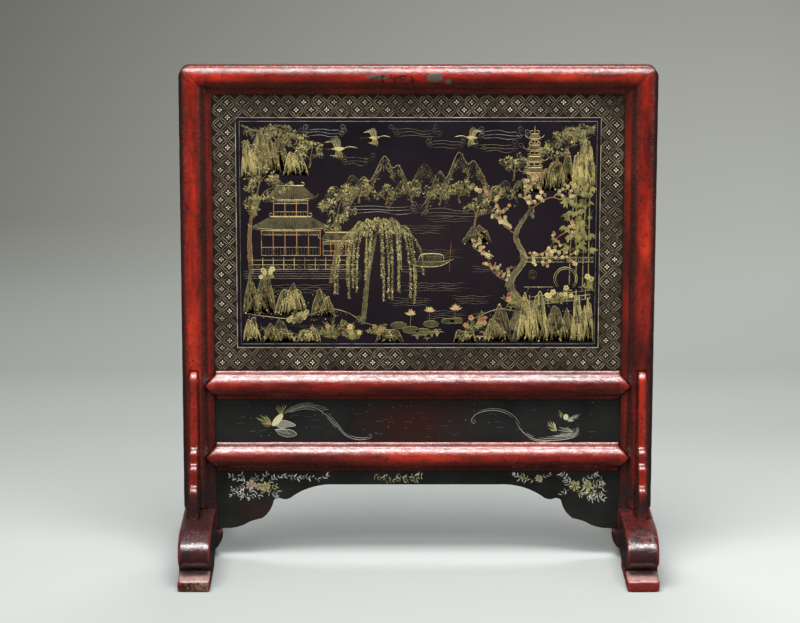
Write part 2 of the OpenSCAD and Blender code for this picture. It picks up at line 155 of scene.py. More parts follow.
def red_lacquer():
    """Cinnabar lacquer, brushed in coats over a black ground and rubbed by use:
    a wet, slightly rippled red that wears through to near-black on edges and in chips,
    browner towards the feet, and down to bare wood at one toe; painted shade darkens
    its hollows, flanks and undersides, and a painted pink highlight lies on the rails."""
    material, t, place = new_material("cinnabar_lacquer_brushed")
    in_mm = add(t, "ShaderNodeVectorMath", {0: place, 1: (1 / MM,) * 3}, operation="MULTIPLY").outputs[0]
    x, y, z = add(t, "ShaderNodeSeparateXYZ", {0: in_mm}).outputs
    normal = add(t, "ShaderNodeNewGeometry").outputs["Normal"]
    sideways, _, upwards = add(t, "ShaderNodeSeparateXYZ", {0: normal}).outputs
    outside, depth, flank = (add(t, "ShaderNodeMath", {0: value}, operation="ABSOLUTE").outputs[0]
                             for value in (x, y, sideways))
    edge = add(t, "ShaderNodeAttribute", attribute_name="edge").outputs["Fac"]
    side, _, top = (limit / MM for limit in cad_box[1])
    post_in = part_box("right_post")[0][0] / MM
    foot_in, foot_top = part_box("right_foot")[0][0] / MM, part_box("right_foot")[1][2] / MM
    grain = patterns(t, place, {
        "flecks": (4.5, 5, 0.7), "coarse": (14, 5, 0.7), "broad": (80, 3, 0.6), "chips": (9, 6, 0.8),
        "nicks": (3.4, 4, 0.7), "specks": (4.2, 4, 0.7), "blotches": (7, 5, 0.7), "ripple": (7, 3, 0.6),
        "peel": (2.8, 4, 0.7), "pits": (3.6, 4, 0.75, (0.45, 1, 1)),
        "lengthwise": (22, 6, 0.66, (0.22, 1, 1)), "upright": (22, 6, 0.66, (1, 1, 0.22))})
    flecks, coarse = grain["flecks"], grain["coarse"]

    def chip(centre, size):
        """The range that is full inside a ragged spot; in millimetres"""
        return reach_from(t, in_mm, centre, size, coarse), 1.55, 1.4

    # The brush ran along the members: upwards on the posts, lengthwise on the rails
    on_post = add(t, "ShaderNodeMath", {0: outside, 1: post_in}, operation="GREATER_THAN").outputs[0]
    brushed = add(t, "ShaderNodeMix", {"Factor": on_post, "A": grain["lengthwise"],
                                       "B": grain["upright"]}).outputs["Result"]
    red = add(t, "ShaderNodeValToRGB", {"Fac": brushed},
              stops=[(0.3, "#420B06"), (0.43, "#741306"), (0.55, "#9E1E08"), (0.7, "#C43110")])
    rubbed = add(t, "ShaderNodeMath", {0: edge, 1: flecks}, operation="MULTIPLY").outputs[0]
    chipped = add(t, "ShaderNodeMath", {0: cover(t, (grain["chips"], 0.63, 0.66)),
                                        1: cover(t, (grain["nicks"], 0.62, 0.68))},
                  operation="MAXIMUM").outputs[0]
    bare = lay(t, "#8D6F58", [("#64453A", (flecks, 0.4, 0.62))])
    on_rail = (outside, post_in + 7, post_in + 4)
    on_right_foot = (x, foot_in - 9, foot_in - 4)
    tone = lay(t, red.outputs["Color"], [
        # The top coat is thin, so the dark ground clouds it in flecks, and broad stretches have darkened
        ("#320F0A", (flecks, 0.5, 0.72, 0.8)),
        ("#3A120B", (grain["broad"], 0.45, 0.62, 0.5)),
        # Below the picture the frame is darker and browner, most to the left
        ("#3A1712", (z, 230, 90), (x, 0, -230, 0.75, 0.2), (depth, 17.5, 16.5)),
        # Painted shade darkens the recessed lips, the flanks of the rolls and the undersides
        ("#33120C", (depth, 10.5, 8.8, 0.5)),
        ("#280F0A", (flank, 0.25, 0.66, 0.88)),
        ("#260E0A", (upwards, -0.15, -0.75, 0.65)),
        # Painted shade and wear darken the outer sides of the posts
        ("#25110D", (outside, side - 7.5, side - 1, 0.5)),
        # Soot and old wax, and painted shade, darken the quirks and inner corners
        ("#1C0D0A", (edge, -0.06, -0.4, 0.8)),
        # Handled edges are rubbed through to the ground
        ("#33160F", (rubbed, 0.42, 0.66, 0.8)),
        # Painted shade darkens the rails below, and under the picture a painted dull pink highlight lies
        # along their upper faces
        ("#3C130E", (upwards, 0.1, -0.5, 0.5), on_rail),
        ("#B0655C", (upwards, 0.2, 0.7, 0.4), on_rail, (brushed, 0.36, 0.56, 1.0, 0.35),
         (z, 400, 300, 1.0, 0.1)),
        # The feet are darker, a purplish brown, with red along their arrises and on the right one
        ("#2A1B1C", (z, foot_top + 37, foot_top + 17, 0.92)),
        ("#7C1D16", (z, foot_top + 7, foot_top - 3), (edge, 0.3, 0.7, 0.7)),
        ("#7C1817", on_right_foot, (coarse, 0.47, 0.57, 0.5), (z, foot_top + 13, foot_top + 5),
         (z, foot_top - 15, foot_top - 3, 1.0, 0.12)),
        ("#84241E", on_right_foot, (z, 14, 12.5, 0.75)),
        # A few chips go right down to the black, and three in the top rail to the grey filler
        ("#1B1211", (chipped, 0, 1)),
        ("#4A463D", chip((16.5, -14, 521), (8.5, 20, 4.8))),
        ("#4A463D", chip((31, -13.5, 516.5), (4, 20, 3))),
        ("#4A463D", chip((-42, -14.5, 522), (12, 20, 2.2))),
        # Dust and knocks have browned the top edge, and a cluster of small chips lies left of its middle
        ("#3E201A", (z, top - 8.5, top - 3.5), (flecks, 0.42, 0.56, 0.75)),
        ("#2A1512", chip((-22, -14, 519), (28, 20, 5.5)), (grain["specks"], 0.5, 0.56)),
        # The left toe is worn to the wood in blotches and cracked; the tops of both toes carry pale scuffs
        # and a painted highlight
        (bare, chip((-233.5, -131, 4), (21, 9, 9.5)), (grain["blotches"], 0.46, 0.56)),
        ("#BB9690", (upwards, 0.45, 0.9), (z, 20, 15), (coarse, 0.35, 0.6, 0.85, 0.35)),
        ("#2A1612", chip((-232.5, -131, 3), (0.7, 8, 10)))])
    ripple = add(t, "ShaderNodeBump", {"Height": grain["ripple"], "Strength": 0.55, "Distance": 0.8 * MM})
    peel = add(t, "ShaderNodeBump", {"Height": grain["peel"], "Strength": 0.85, "Distance": 0.4 * MM,
                                     "Normal": ripple.outputs[0]}).outputs[0]
    # The gloss is lost in hollows, chips and pits, below the top rail, on undersides and near the floor
    gloss = cover(t, (depth, 8.8, 10.5, 1.0, 0.65), (chipped, 1, 0, 1.0, 0.15), (z, 450, 500, 0.42, 1.0),
                  (grain["pits"], 0.42, 0.54, 1.0, 0.1), (upwards, -0.3, -0.05, 1.0, 0.12),
                  (z, 22, 36, 1.0, 0.2))
    finish_material(t, {"Base Color": tone, "Roughness": cover(t, (flecks, 0.3, 0.7, 0.36, 0.18)),
                        "Normal": peel, "IOR": 1.52, "Coat Weight": gloss, "Coat IOR": 1.65,
                        "Coat Roughness": 0.24, "Coat Normal": peel})
    return material


def black_lacquer(name, ground, rubbed, rubbed_at, rubbed_size, band=None):
    """Black lacquer, laid on cloth and polished: a deep, faintly warm black with a low sheen;
    round rubbed_at the black is rubbed to the brown below it. The band (half width, middle height,
    half height, breadth, colour) along the edges of the picture has a ground of its own in front."""
    material, t, place = new_material(name)
    # The cloth's threads are drawn coarser than they are, so that they show
    grain = patterns(t, place, {"patches": (55, 5, 0.6), "cloth": (2.2, 4, 0.6)})
    patches = grain["patches"]
    tone = add(t, "ShaderNodeValToRGB", {"Fac": patches},
               stops=[(0.3, ground[0]), (0.52, ground[1]), (0.75, ground[2])]).outputs["Color"]
    reach = reach_from(t, place, rubbed_at, rubbed_size, patches)
    tone = lay(t, tone, [(rubbed, (reach, 1.5, 0.55, 0.9))])
    if band:
        half_w, mid_z, half_h, breadth, ground_tone = band
        x, y, z = add(t, "ShaderNodeSeparateXYZ", {0: place}).outputs
        from_mid = add(t, "ShaderNodeMath", {0: z, 1: mid_z}, operation="SUBTRACT").outputs[0]
        insets = []
        for value, half in ((x, half_w), (from_mid, half_h)):
            away = add(t, "ShaderNodeMath", {0: value}, operation="ABSOLUTE").outputs[0]
            insets.append(add(t, "ShaderNodeMath", {0: half, 1: away}, operation="SUBTRACT").outputs[0])
        inset = add(t, "ShaderNodeMath", {0: insets[0], 1: insets[1]}, operation="MINIMUM").outputs[0]
        within = add(t, "ShaderNodeMath", {0: inset, 1: breadth}, operation="LESS_THAN").outputs[0]
        cloudy = lay(t, ground_tone, [("#1F1914", (patches, 0.35, 0.65))])
        tone = lay(t, tone, [(cloudy, (within, 0, 1), (y, 0, -1 * MM))])
    wave = add(t, "ShaderNodeBump", {"Height": patches, "Strength": 0.25, "Distance": 1.2 * MM})
    bump = add(t, "ShaderNodeBump", {"Height": grain["cloth"], "Strength": 0.12, "Distance": 0.2 * MM,
                                     "Normal": wave.outputs[0]})
    finish_material(t, {"Base Color": tone, "Roughness": cover(t, (grain["cloth"], 0.3, 0.7, 0.55, 0.4)),
                        "Normal": bump.outputs[0], "IOR": 1.5, "Specular IOR Level": 0.08})
    return material


def painted(name, roughness, worn_from, worn_to, ground, sheen, worn_size=9):
    """Thin leaf or shell on lacquer, each touch with its own tint and a soft glint,
    rubbed through in patches so that the black ground shows again."""
    material, t, place = new_material(name)
    tint = add(t, "ShaderNodeAttribute", attribute_name="tint").outputs["Color"]
    rub = patterns(t, place, {"rub": (worn_size, 6, 0.72)})["rub"]
    tone = lay(t, tint, [(ground, (rub, worn_from, worn_to, 0.85))])
    finish_material(t, {"Base Color": tone, "Roughness": cover(t, (rub, 0, 1, roughness + 0.2, roughness)),
                        "Metallic": sheen, "Specular IOR Level": 0.3})
    return material


def bare_wood():
    """Planed softwood, left bare inside the joints: pale, dry, with long straight grain."""
    material, t, place = new_material("planed_softwood")
    grain = patterns(t, place, {"grain": (1.6, 4, 0.6, (1, 1, 0.12))})["grain"]
    tone = add(t, "ShaderNodeValToRGB", {"Fac": grain}, stops=[(0.3, "#8A6A42"), (0.7, "#B99A6C")])
    bump = add(t, "ShaderNodeBump", {"Height": grain, "Strength": 0.3, "Distance": 0.2 * MM})
    finish_material(t, {"Base Color": tone.outputs["Color"], "Roughness": 0.75,
                        "Normal": bump.outputs[0]})
    return material


# Softened copies of the joined pieces

def spread(values, edges, count):
    """Sum of each vertex's neighbours"""
    total = np.zeros((count, 3))
    for axis in range(3):
        total[:, axis] += np.bincount(edges[:, 0], values[edges[:, 1], axis], count)
        total[:, axis] += np.bincount(edges[:, 1], values[edges[:, 0], axis], count)
    return total


def new_object(name, data):
    """An object of this data, linked into the scene"""
    piece = bpy.data.objects.new(name, data)
    bpy.context.scene.collection.objects.link(piece)
    return piece


def plain_copy(piece):
    """Turns the piece with its modifiers into a plain mesh"""
    ready = piece.evaluated_get(bpy.context.evaluated_depsgraph_get())
    mesh = bpy.data.meshes.new_from_object(ready)
    piece.modifiers.clear()
    piece.data = mesh
    return mesh


def remeshed(node):
    """A copy of a CAD node as one closed, even mesh"""
    doubles, voxel = 0.002 * MM, 0.9 * MM
    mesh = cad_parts[node].data.copy()
    shape = bmesh.new()
    shape.from_mesh(mesh)
    bmesh.ops.remove_doubles(shape, verts=shape.verts, dist=doubles)
    shape.to_mesh(mesh)
    shape.free()
    piece = new_object(node + "_lacquered", mesh)
    coat = piece.modifiers.new("coat", "REMESH")
    coat.mode = "VOXEL"
    coat.voxel_size = voxel
    coat.use_smooth_shade = True
    return piece, plain_copy(piece)


def read(values, key, width, kind=float):
    """A mesh's values as an array of rows"""
    rows = np.empty(len(values) * width, dtype=kind)
    values.foreach_get(key, rows)
    return rows.reshape(-1, width)


def softened(node, material, rounds, ripple, ripple_size, seam=None):
    """A closed copy of a CAD node with rubbed edges and the ripple (in mm) of brushed coats; at a seam
    (a function of the distance beyond a joint, in metres) it stays crisp and reaches under its neighbour"""
    crisp, fade, tuck, tuck_from = 0.4 * MM, 2.4 * MM, 0.6 * MM, 1.4 * MM
    broad_rounds, arris = 14, 0.8 * MM
    piece, mesh = remeshed(node)
    count = len(mesh.vertices)
    spots = read(mesh.vertices, "co", 3)
    edges = read(mesh.edges, "vertices", 2, np.int64)
    degree = np.bincount(edges.ravel(), minlength=count)[:, None]
    free, push = np.ones((count, 1)), 0.0
    if seam:
        gap, normal = seam(spots)
        free = np.clip((-gap[:, None] - crisp) / fade, 0, 1)
        push = np.clip(1 + gap[:, None] / tuck_from, 0, 1) * tuck * normal
    for _ in range(rounds):
        spots = spots + 0.5 * free * (spread(spots, edges, count) / degree - spots)
    broad = spots.copy()
    for _ in range(broad_rounds):
        broad = spread(broad, edges, count) / degree
    mesh.vertices.foreach_set("co", spots.ravel())
    mesh.update()
    normals = read(mesh.vertices, "normal", 3)
    # Positive on proud edges, negative in hollows, about one at a sharp arris
    edge = ((spots - broad) * normals).sum(axis=1) / arris * free[:, 0]
    lift = np.array([noise.noise(Vector(p) * per_mm(ripple_size)) for p in spots])
    low, high = (np.array(c) for c in cad_box)
    spots = np.clip(spots + normals * (lift * ripple * MM)[:, None] + push, low, high)
    mesh.vertices.foreach_set("co", worn_round(spots, high).ravel())
    mesh.attributes.new("edge", "FLOAT", "POINT").data.foreach_set("value", edge.astype(np.float32))
    mesh.update()
    mesh.materials.clear()
    mesh.materials.append(material)
    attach(piece, "root")
    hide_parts(node)
    return piece


def worn_round(spots, high):
    """The spots, drawn in where the two top corners of the screen are worn round"""
    radius = 12 * MM
    way = np.where(spots[:, 0] < 0, -1.0, 1.0)
    mid_x, mid_z = high[0] - radius, high[2] - radius
    out, up = np.abs(spots[:, 0]) - mid_x, spots[:, 2] - mid_z
    share = np.minimum(1.0, radius / np.maximum(np.hypot(out, up), 1e-9))
    worn = (out > 0) & (up > 0) & (share < 1)
    spots[:, 0] = np.where(worn, way * (mid_x + out * share), spots[:, 0])
    spots[:, 2] = np.where(worn, mid_z + up * share, spots[:, 2])
    return spots


def mitre(side):
    """The seam at the top corners for the posts (side 1) or for the top rail (side -1)"""
    half, _, top = cad_box[1]
    inner_x, inner_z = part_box("left_post")[1][0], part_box("top_rail")[0][2]
    slope = (top - inner_z) / (half + inner_x)
    length = math.hypot(1, slope)

    def seam(spots):
        """Distance of the spots beyond the joint, and the joint's normal"""
        way = np.where(spots[:, 0] < 0, -1.0, 1.0)
        normal = side * np.column_stack((-slope * way, 0 * way, 1 + 0 * way)) / length
        gap = ((spots - np.array((0, 0, top))) * normal).sum(axis=1) + side * slope * half / length
        return gap, normal

    return seam


# Raised touches of paint and shell; places on the boards are (x, z) in millimetres

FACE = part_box("main_panel")[0][1] / MM
SINK = 0.12
# A stroke's share of its width at its two ends
TAPERED, BLUNT = (0.3, 0.3), (1, 1)


def board_field(inset):
    """The picture board, drawn in by this inset: left, low, right, high"""
    (left, _, low), (right, _, high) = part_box("main_panel")
    return left / MM + inset, low / MM + inset, right / MM - inset, high / MM - inset


def curve(points, step):
    """Smooth line through the points, sampled about every step millimetres"""
    p = np.array(points, float)
    q = np.vstack((2 * p[0] - p[1], p, 2 * p[-1] - p[-2]))
    runs = []
    for a, b, c, d in zip(q, q[1:], q[2:], q[3:]):
        t = np.linspace(0, 1, max(2, int(np.linalg.norm(c - b) / step) + 1), endpoint=False)[:, None]
        runs.append(0.5 * (2 * b + (c - a) * t + (2 * a - 5 * b + 4 * c - d) * t ** 2
                           + (3 * b - a - 3 * c + d) * t ** 3))
    return np.vstack(runs + [p[-1:]])


def arc(x, z, rx, rz, start, end, count):
    """Points on an ellipse, from one turn in degrees to another"""
    a = np.radians(np.linspace(start, end, count))
    return np.column_stack((x + rx * np.cos(a), z + rz * np.sin(a)))


def toward(x, z, turn, rx, rz):
    """The point on an ellipse round (x, z) at this turn in degrees"""
    a = math.radians(turn)
    return (x + rx * math.cos(a), z + rz * math.sin(a))


def square_to(line):
    """Unit vectors square to the line at each of its points"""
    ahead = np.gradient(line, axis=0)
    ahead /= np.maximum(np.linalg.norm(ahead, axis=1), 1e-6)[:, None]
    return np.column_stack((-ahead[:, 1], ahead[:, 0]))


def shade(rng, tone, vary):
    """The tone in linear colour, a little lighter or darker"""
    r, g, b, _ = colour(tone)
    f = 1 + rng.uniform(-vary, vary)
    return (r * f, g * f, b * f, 1.0)


class Touches:
    """Touches on a board's front: closed low mounds whose edges sink into the board"""

    def __init__(self, rng=None, face=FACE, limits=None):
        self.rng, self.face, self.limits = rng, face, limits
        self.spots, self.faces, self.tints = [], [], []

    def inside(self, p):
        """Which of the points lie within the limits"""
        if self.limits is None:
            return np.ones(len(p), bool)
        x0, z0, x1, z1 = self.limits
        return (p[:, 0] > x0) & (p[:, 0] < x1) & (p[:, 1] > z0) & (p[:, 1] < z1)

    def tint(self, tone, vary):
        """The tone in a chance shade; white on a model, which takes its tint from the points"""
        return shade(self.rng, tone, vary) if tone else (1.0, 1.0, 1.0, 1.0)

    def put(self, spots, faces, tint):
        """Adds a closed mound, given in millimetres"""
        start = len(self.spots)
        self.spots.extend((x * MM, y * MM, z * MM) for x, y, z in spots)
        self.faces.extend([start + i for i in face] for face in faces)
        self.tints.extend([tint] * len(spots))

    def line(self, points, width, tone=None, rise=0.2, ends=TAPERED, vary=0.2):
        """A stroke along the points, thinner at its ends, kept within the limits"""
        tint = self.tint(tone, vary)
        p = np.asarray(points, float)
        widths = np.broadcast_to(width, len(p))
        keep = np.flatnonzero(self.inside(p))
        for run in np.split(keep, np.flatnonzero(np.diff(keep) > 1) + 1):
            if len(run) > 1:
                self.ridge(p[run], widths[run], tint, rise, ends)

    def ridge(self, p, widths, tint, rise, ends):
        """A stroke of three edges: two sunk in the board and a crest, full a quarter along from each end"""
        t = np.linspace(0, 1, len(p))
        swell = np.minimum(1, np.minimum(ends[0] + 4 * t, ends[1] + 4 * (1 - t)))
        side = (0.5 * widths * swell)[:, None] * square_to(p)
        low = self.face + SINK
        spots = []
        for a, b, c, s in zip(p + side, p - side, p, swell):
            spots += [(a[0], low, a[1]), (b[0], low, b[1]),
                      (c[0], self.face - rise * (0.5 + 0.5 * s), c[1])]
        last = len(spots) - 3
        faces = [(0, 1, 2), (last, last + 2, last + 1)]
        for i in range(0, last, 3):
            faces += [(i, i + 3, i + 4, i + 1), (i + 1, i + 4, i + 5, i + 2), (i + 2, i + 5, i + 3, i)]
        self.put(spots, faces, tint)

    def patch(self, outline, tone=None, rise=0.12, vary=0.2):
        """A flat touch that fills the outline"""
        tint = self.tint(tone, vary)
        p = np.asarray(outline, float)
        if not self.inside(p).all():
            return
        n = len(p)
        spots = [(x, self.face + SINK, z) for x, z in p] + [(x, self.face - rise, z) for x, z in p]
        faces = [tuple(range(n)), tuple(range(2 * n - 1, n - 1, -1))]
        faces += [(i, n + i, n + (i + 1) % n, (i + 1) % n) for i in range(n)]
        self.put(spots, faces, tint)

    def mesh(self, name):
        """All touches as one mesh that carries their tints"""
        mesh = bpy.data.meshes.new(name)
        mesh.from_pydata(self.spots, [], self.faces)
        mesh.attributes.new("tint", "FLOAT_COLOR", "POINT").data.foreach_set("color", np.ravel(self.tints))
        shape = bmesh.new()
        shape.from_mesh(mesh)
        bmesh.ops.triangulate(shape, faces=[f for f in shape.faces if len(f.verts) > 4])
        bmesh.ops.recalc_face_normals(shape, faces=shape.faces)
        shape.to_mesh(mesh)
        shape.free()
        return mesh

    def piece(self, name, material, slot):
        """All touches as one finished piece"""
        mesh = self.mesh(name)
        mesh.materials.append(material)
        finish_piece(new_object(name, mesh))


def finish_piece(piece):
    """Fixes the piece to the body"""
    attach(piece, "root")


def scatter_tree():
    """Geometry Nodes: sets a touch on every point, with the turn and the size that the point carries"""
    tree = bpy.data.node_groups.new("scattered_touches", "GeometryNodeTree")
    sockets = {}
    for name, kind in (("Points", "NodeSocketGeometry"), ("Touch", "NodeSocketObject"),
                       ("Paint", "NodeSocketMaterial")):
        sockets[name] = tree.interface.new_socket(name, in_out="INPUT", socket_type=kind).identifier
    tree.interface.new_socket("Touches", in_out="OUTPUT", socket_type="NodeSocketGeometry")
    start = add(tree, "NodeGroupInput").outputs
    touch = add(tree, "GeometryNodeObjectInfo", {"Object": start["Touch"]})
    turn = add(tree, "GeometryNodeInputNamedAttribute", {"Name": "turn"}, data_type="FLOAT")
    size = add(tree, "GeometryNodeInputNamedAttribute", {"Name": "size"}, data_type="FLOAT")
    spin = add(tree, "ShaderNodeCombineXYZ", {"Y": turn.outputs["Attribute"]})
    put = add(tree, "GeometryNodeInstanceOnPoints",
              {"Points": start["Points"], "Instance": touch.outputs["Geometry"],
               "Rotation": spin.outputs[0], "Scale": size.outputs["Attribute"]})
    real = add(tree, "GeometryNodeRealizeInstances", {"Geometry": put.outputs[0]})
    coated = add(tree, "GeometryNodeSetMaterial", {"Geometry": real.outputs[0], "Material": start["Paint"]})
    add(tree, "NodeGroupOutput", {0: coated.outputs[0]})
    return tree, sockets


SCATTER, SOCKETS = scatter_tree()


def scattered(name, points, touch, material):
    """Piece of touches set on points (x, z, turn in degrees, size, linear tint) of the boards' front"""
    mesh = bpy.data.meshes.new(name)
    mesh.from_pydata([(x * MM, FACE * MM, z * MM) for x, z, _, _, _ in points], [], [])
    for key, values in (("turn", [-math.radians(p[2]) for p in points]), ("size", [p[3] for p in points])):
        mesh.attributes.new(key, "FLOAT", "POINT").data.foreach_set("value", values)
    tints = mesh.attributes.new("tint", "FLOAT_COLOR", "POINT")
    tints.data.foreach_set("color", np.ravel([p[4] for p in points]))
    piece = new_object(name, mesh)
    model = new_object(name + "_model", touch.mesh(name + "_model"))
    model.data.attributes.remove(model.data.attributes["tint"])
    nodes = piece.modifiers.new("scatter", "NODES")
    nodes.node_group = SCATTER
    nodes[SOCKETS["Touch"]] = model
    nodes[SOCKETS["Paint"]] = material
    plain_copy(piece)
    bpy.data.objects.remove(model)
    finish_piece(piece)


def leaf_touch(half=0.15):
    """A pointed leaf one millimetre long, of this half width"""
    touch = Touches(face=0.0)
    touch.patch([(0, 0), (0.3, half), (0.62, 0.9 * half), (1, 0), (0.62, -0.9 * half), (0.3, -half)],
                rise=0.06)
    return touch


def blossom_touch():
    """A flower of five round petals, one millimetre across"""
    touch = Touches(face=0.0)
    for k in range(5):
        touch.patch(arc(*toward(0, 0, 90 + 72 * k, 0.29, 0.29), 0.2, 0.2, 0, 315, 8), rise=0.05)
    return touch


def dot_touch():
    """An oval dot, one millimetre across"""
    touch = Touches(face=0.0)
    touch.patch(arc(0, 0, 0.5, 0.42, 0, 300, 6), rise=0.12)
    return touch


# The brocade border

def brocade():
    """A traditional diaper border: lozenges of bowed double lines, each with a flower of four petals"""
    hidden = 4.8
    x0, z0, x1, z1 = board_field(hidden)
    across, up, rows = 54, 37, 3
    a, b = (x1 - x0) / across, (z1 - z0) / up
    rng = random.Random(3)
    tilt = math.degrees(math.atan2(b, a))
    sides, flowers = [], []

    def tinted(tone, x, z):
        """The tone, worn in clouds and a little by chance"""
        cloud_size = 34
        light = 0.9 + 0.9 * noise.noise(Vector((x, z, 3)) / cloud_size) + rng.uniform(-0.22, 0.22)
        return tuple(c * max(0.35, light) for c in colour(tone)[:3]) + (1.0,)

    for i in range(across):
        for j in range(up):
            if min(i, across - 1 - i, j, up - 1 - j) >= rows:
                continue
            x, z = x0 + (i + 0.5) * a, z0 + (j + 0.5) * b
            sides.append((x, z, tilt if (i + j) % 2 else -tilt, 1.0, tinted("#B0A085", x, z)))
            # Flowers sit on the lattice points that the sides don't cross
            if (i + j) % 2 == 0 and 0 < min(i, across - i, j, up - j) < rows:
                flowers.append((x - 0.5 * a, z - 0.5 * b, 0, 1.0, tinted("#E0D8C4", x, z)))
    side, flower = Touches(face=0.0), Touches(face=0.0)
    reach, rise = 0.47 * math.hypot(a, b), 0.14
    for bow in (1.35, -1.35):
        side.line(curve([(-reach, 0.5 * bow), (0, bow), (reach, 0.5 * bow)], 4), 0.7, rise=rise)
    petal = [(0.6, 0), (1.3, 0.55), (2.1, 0.55), (2.6, 0), (2.1, -0.55), (1.3, -0.55)]
    for c, s in ((1, 0), (0, 1), (-1, 0), (0, -1)):
        flower.patch([(c * x - s * z, s * x + c * z) for x, z in petal], rise=rise)
    scattered("brocade_lozenges", sides, side, BORDER_GOLD)
    scattered("brocade_flowers", flowers, flower, BORDER_GOLD)
    lines = Touches(rng)
    steps, dash = 60, 4
    for inset, tone, width in ((24.2, "#A39A80", 1.3), (28.2, "#7A7262", 0.8)):
        left, low, right, high = x0 + inset, z0 + inset, x1 - inset, z1 - inset
        corners = [(left, low), (right, low), (right, high), (left, high)]
        for start, end in zip(corners, corners[1:] + corners[:1]):
            run = np.linspace(start, end, steps)
            for k in range(0, steps - 1, dash):
                lines.line(run[k:k + dash + 1], width, tone, 0.15, BLUNT, vary=0.35)
    lines.piece("brocade_edge_lines", GOLD, "gold_paint")


# The picture: a generic garden by the water, in gold on black

PALE, KHAKI, OLIVE, AMBER, SILVER, DIM = "#BFAF74", "#968759", "#867E4A", "#AE7840", "#827E73", "#625A40"
ROSE, BRICK = "#C79A72", "#B5875F"
# The field inside the border: left, low, right, high; single touches keep off its edges
FIELD_INSET, MARGIN = 34.3, 2.0
VIEW = tuple(round(limit, 1) for limit in board_field(FIELD_INSET))


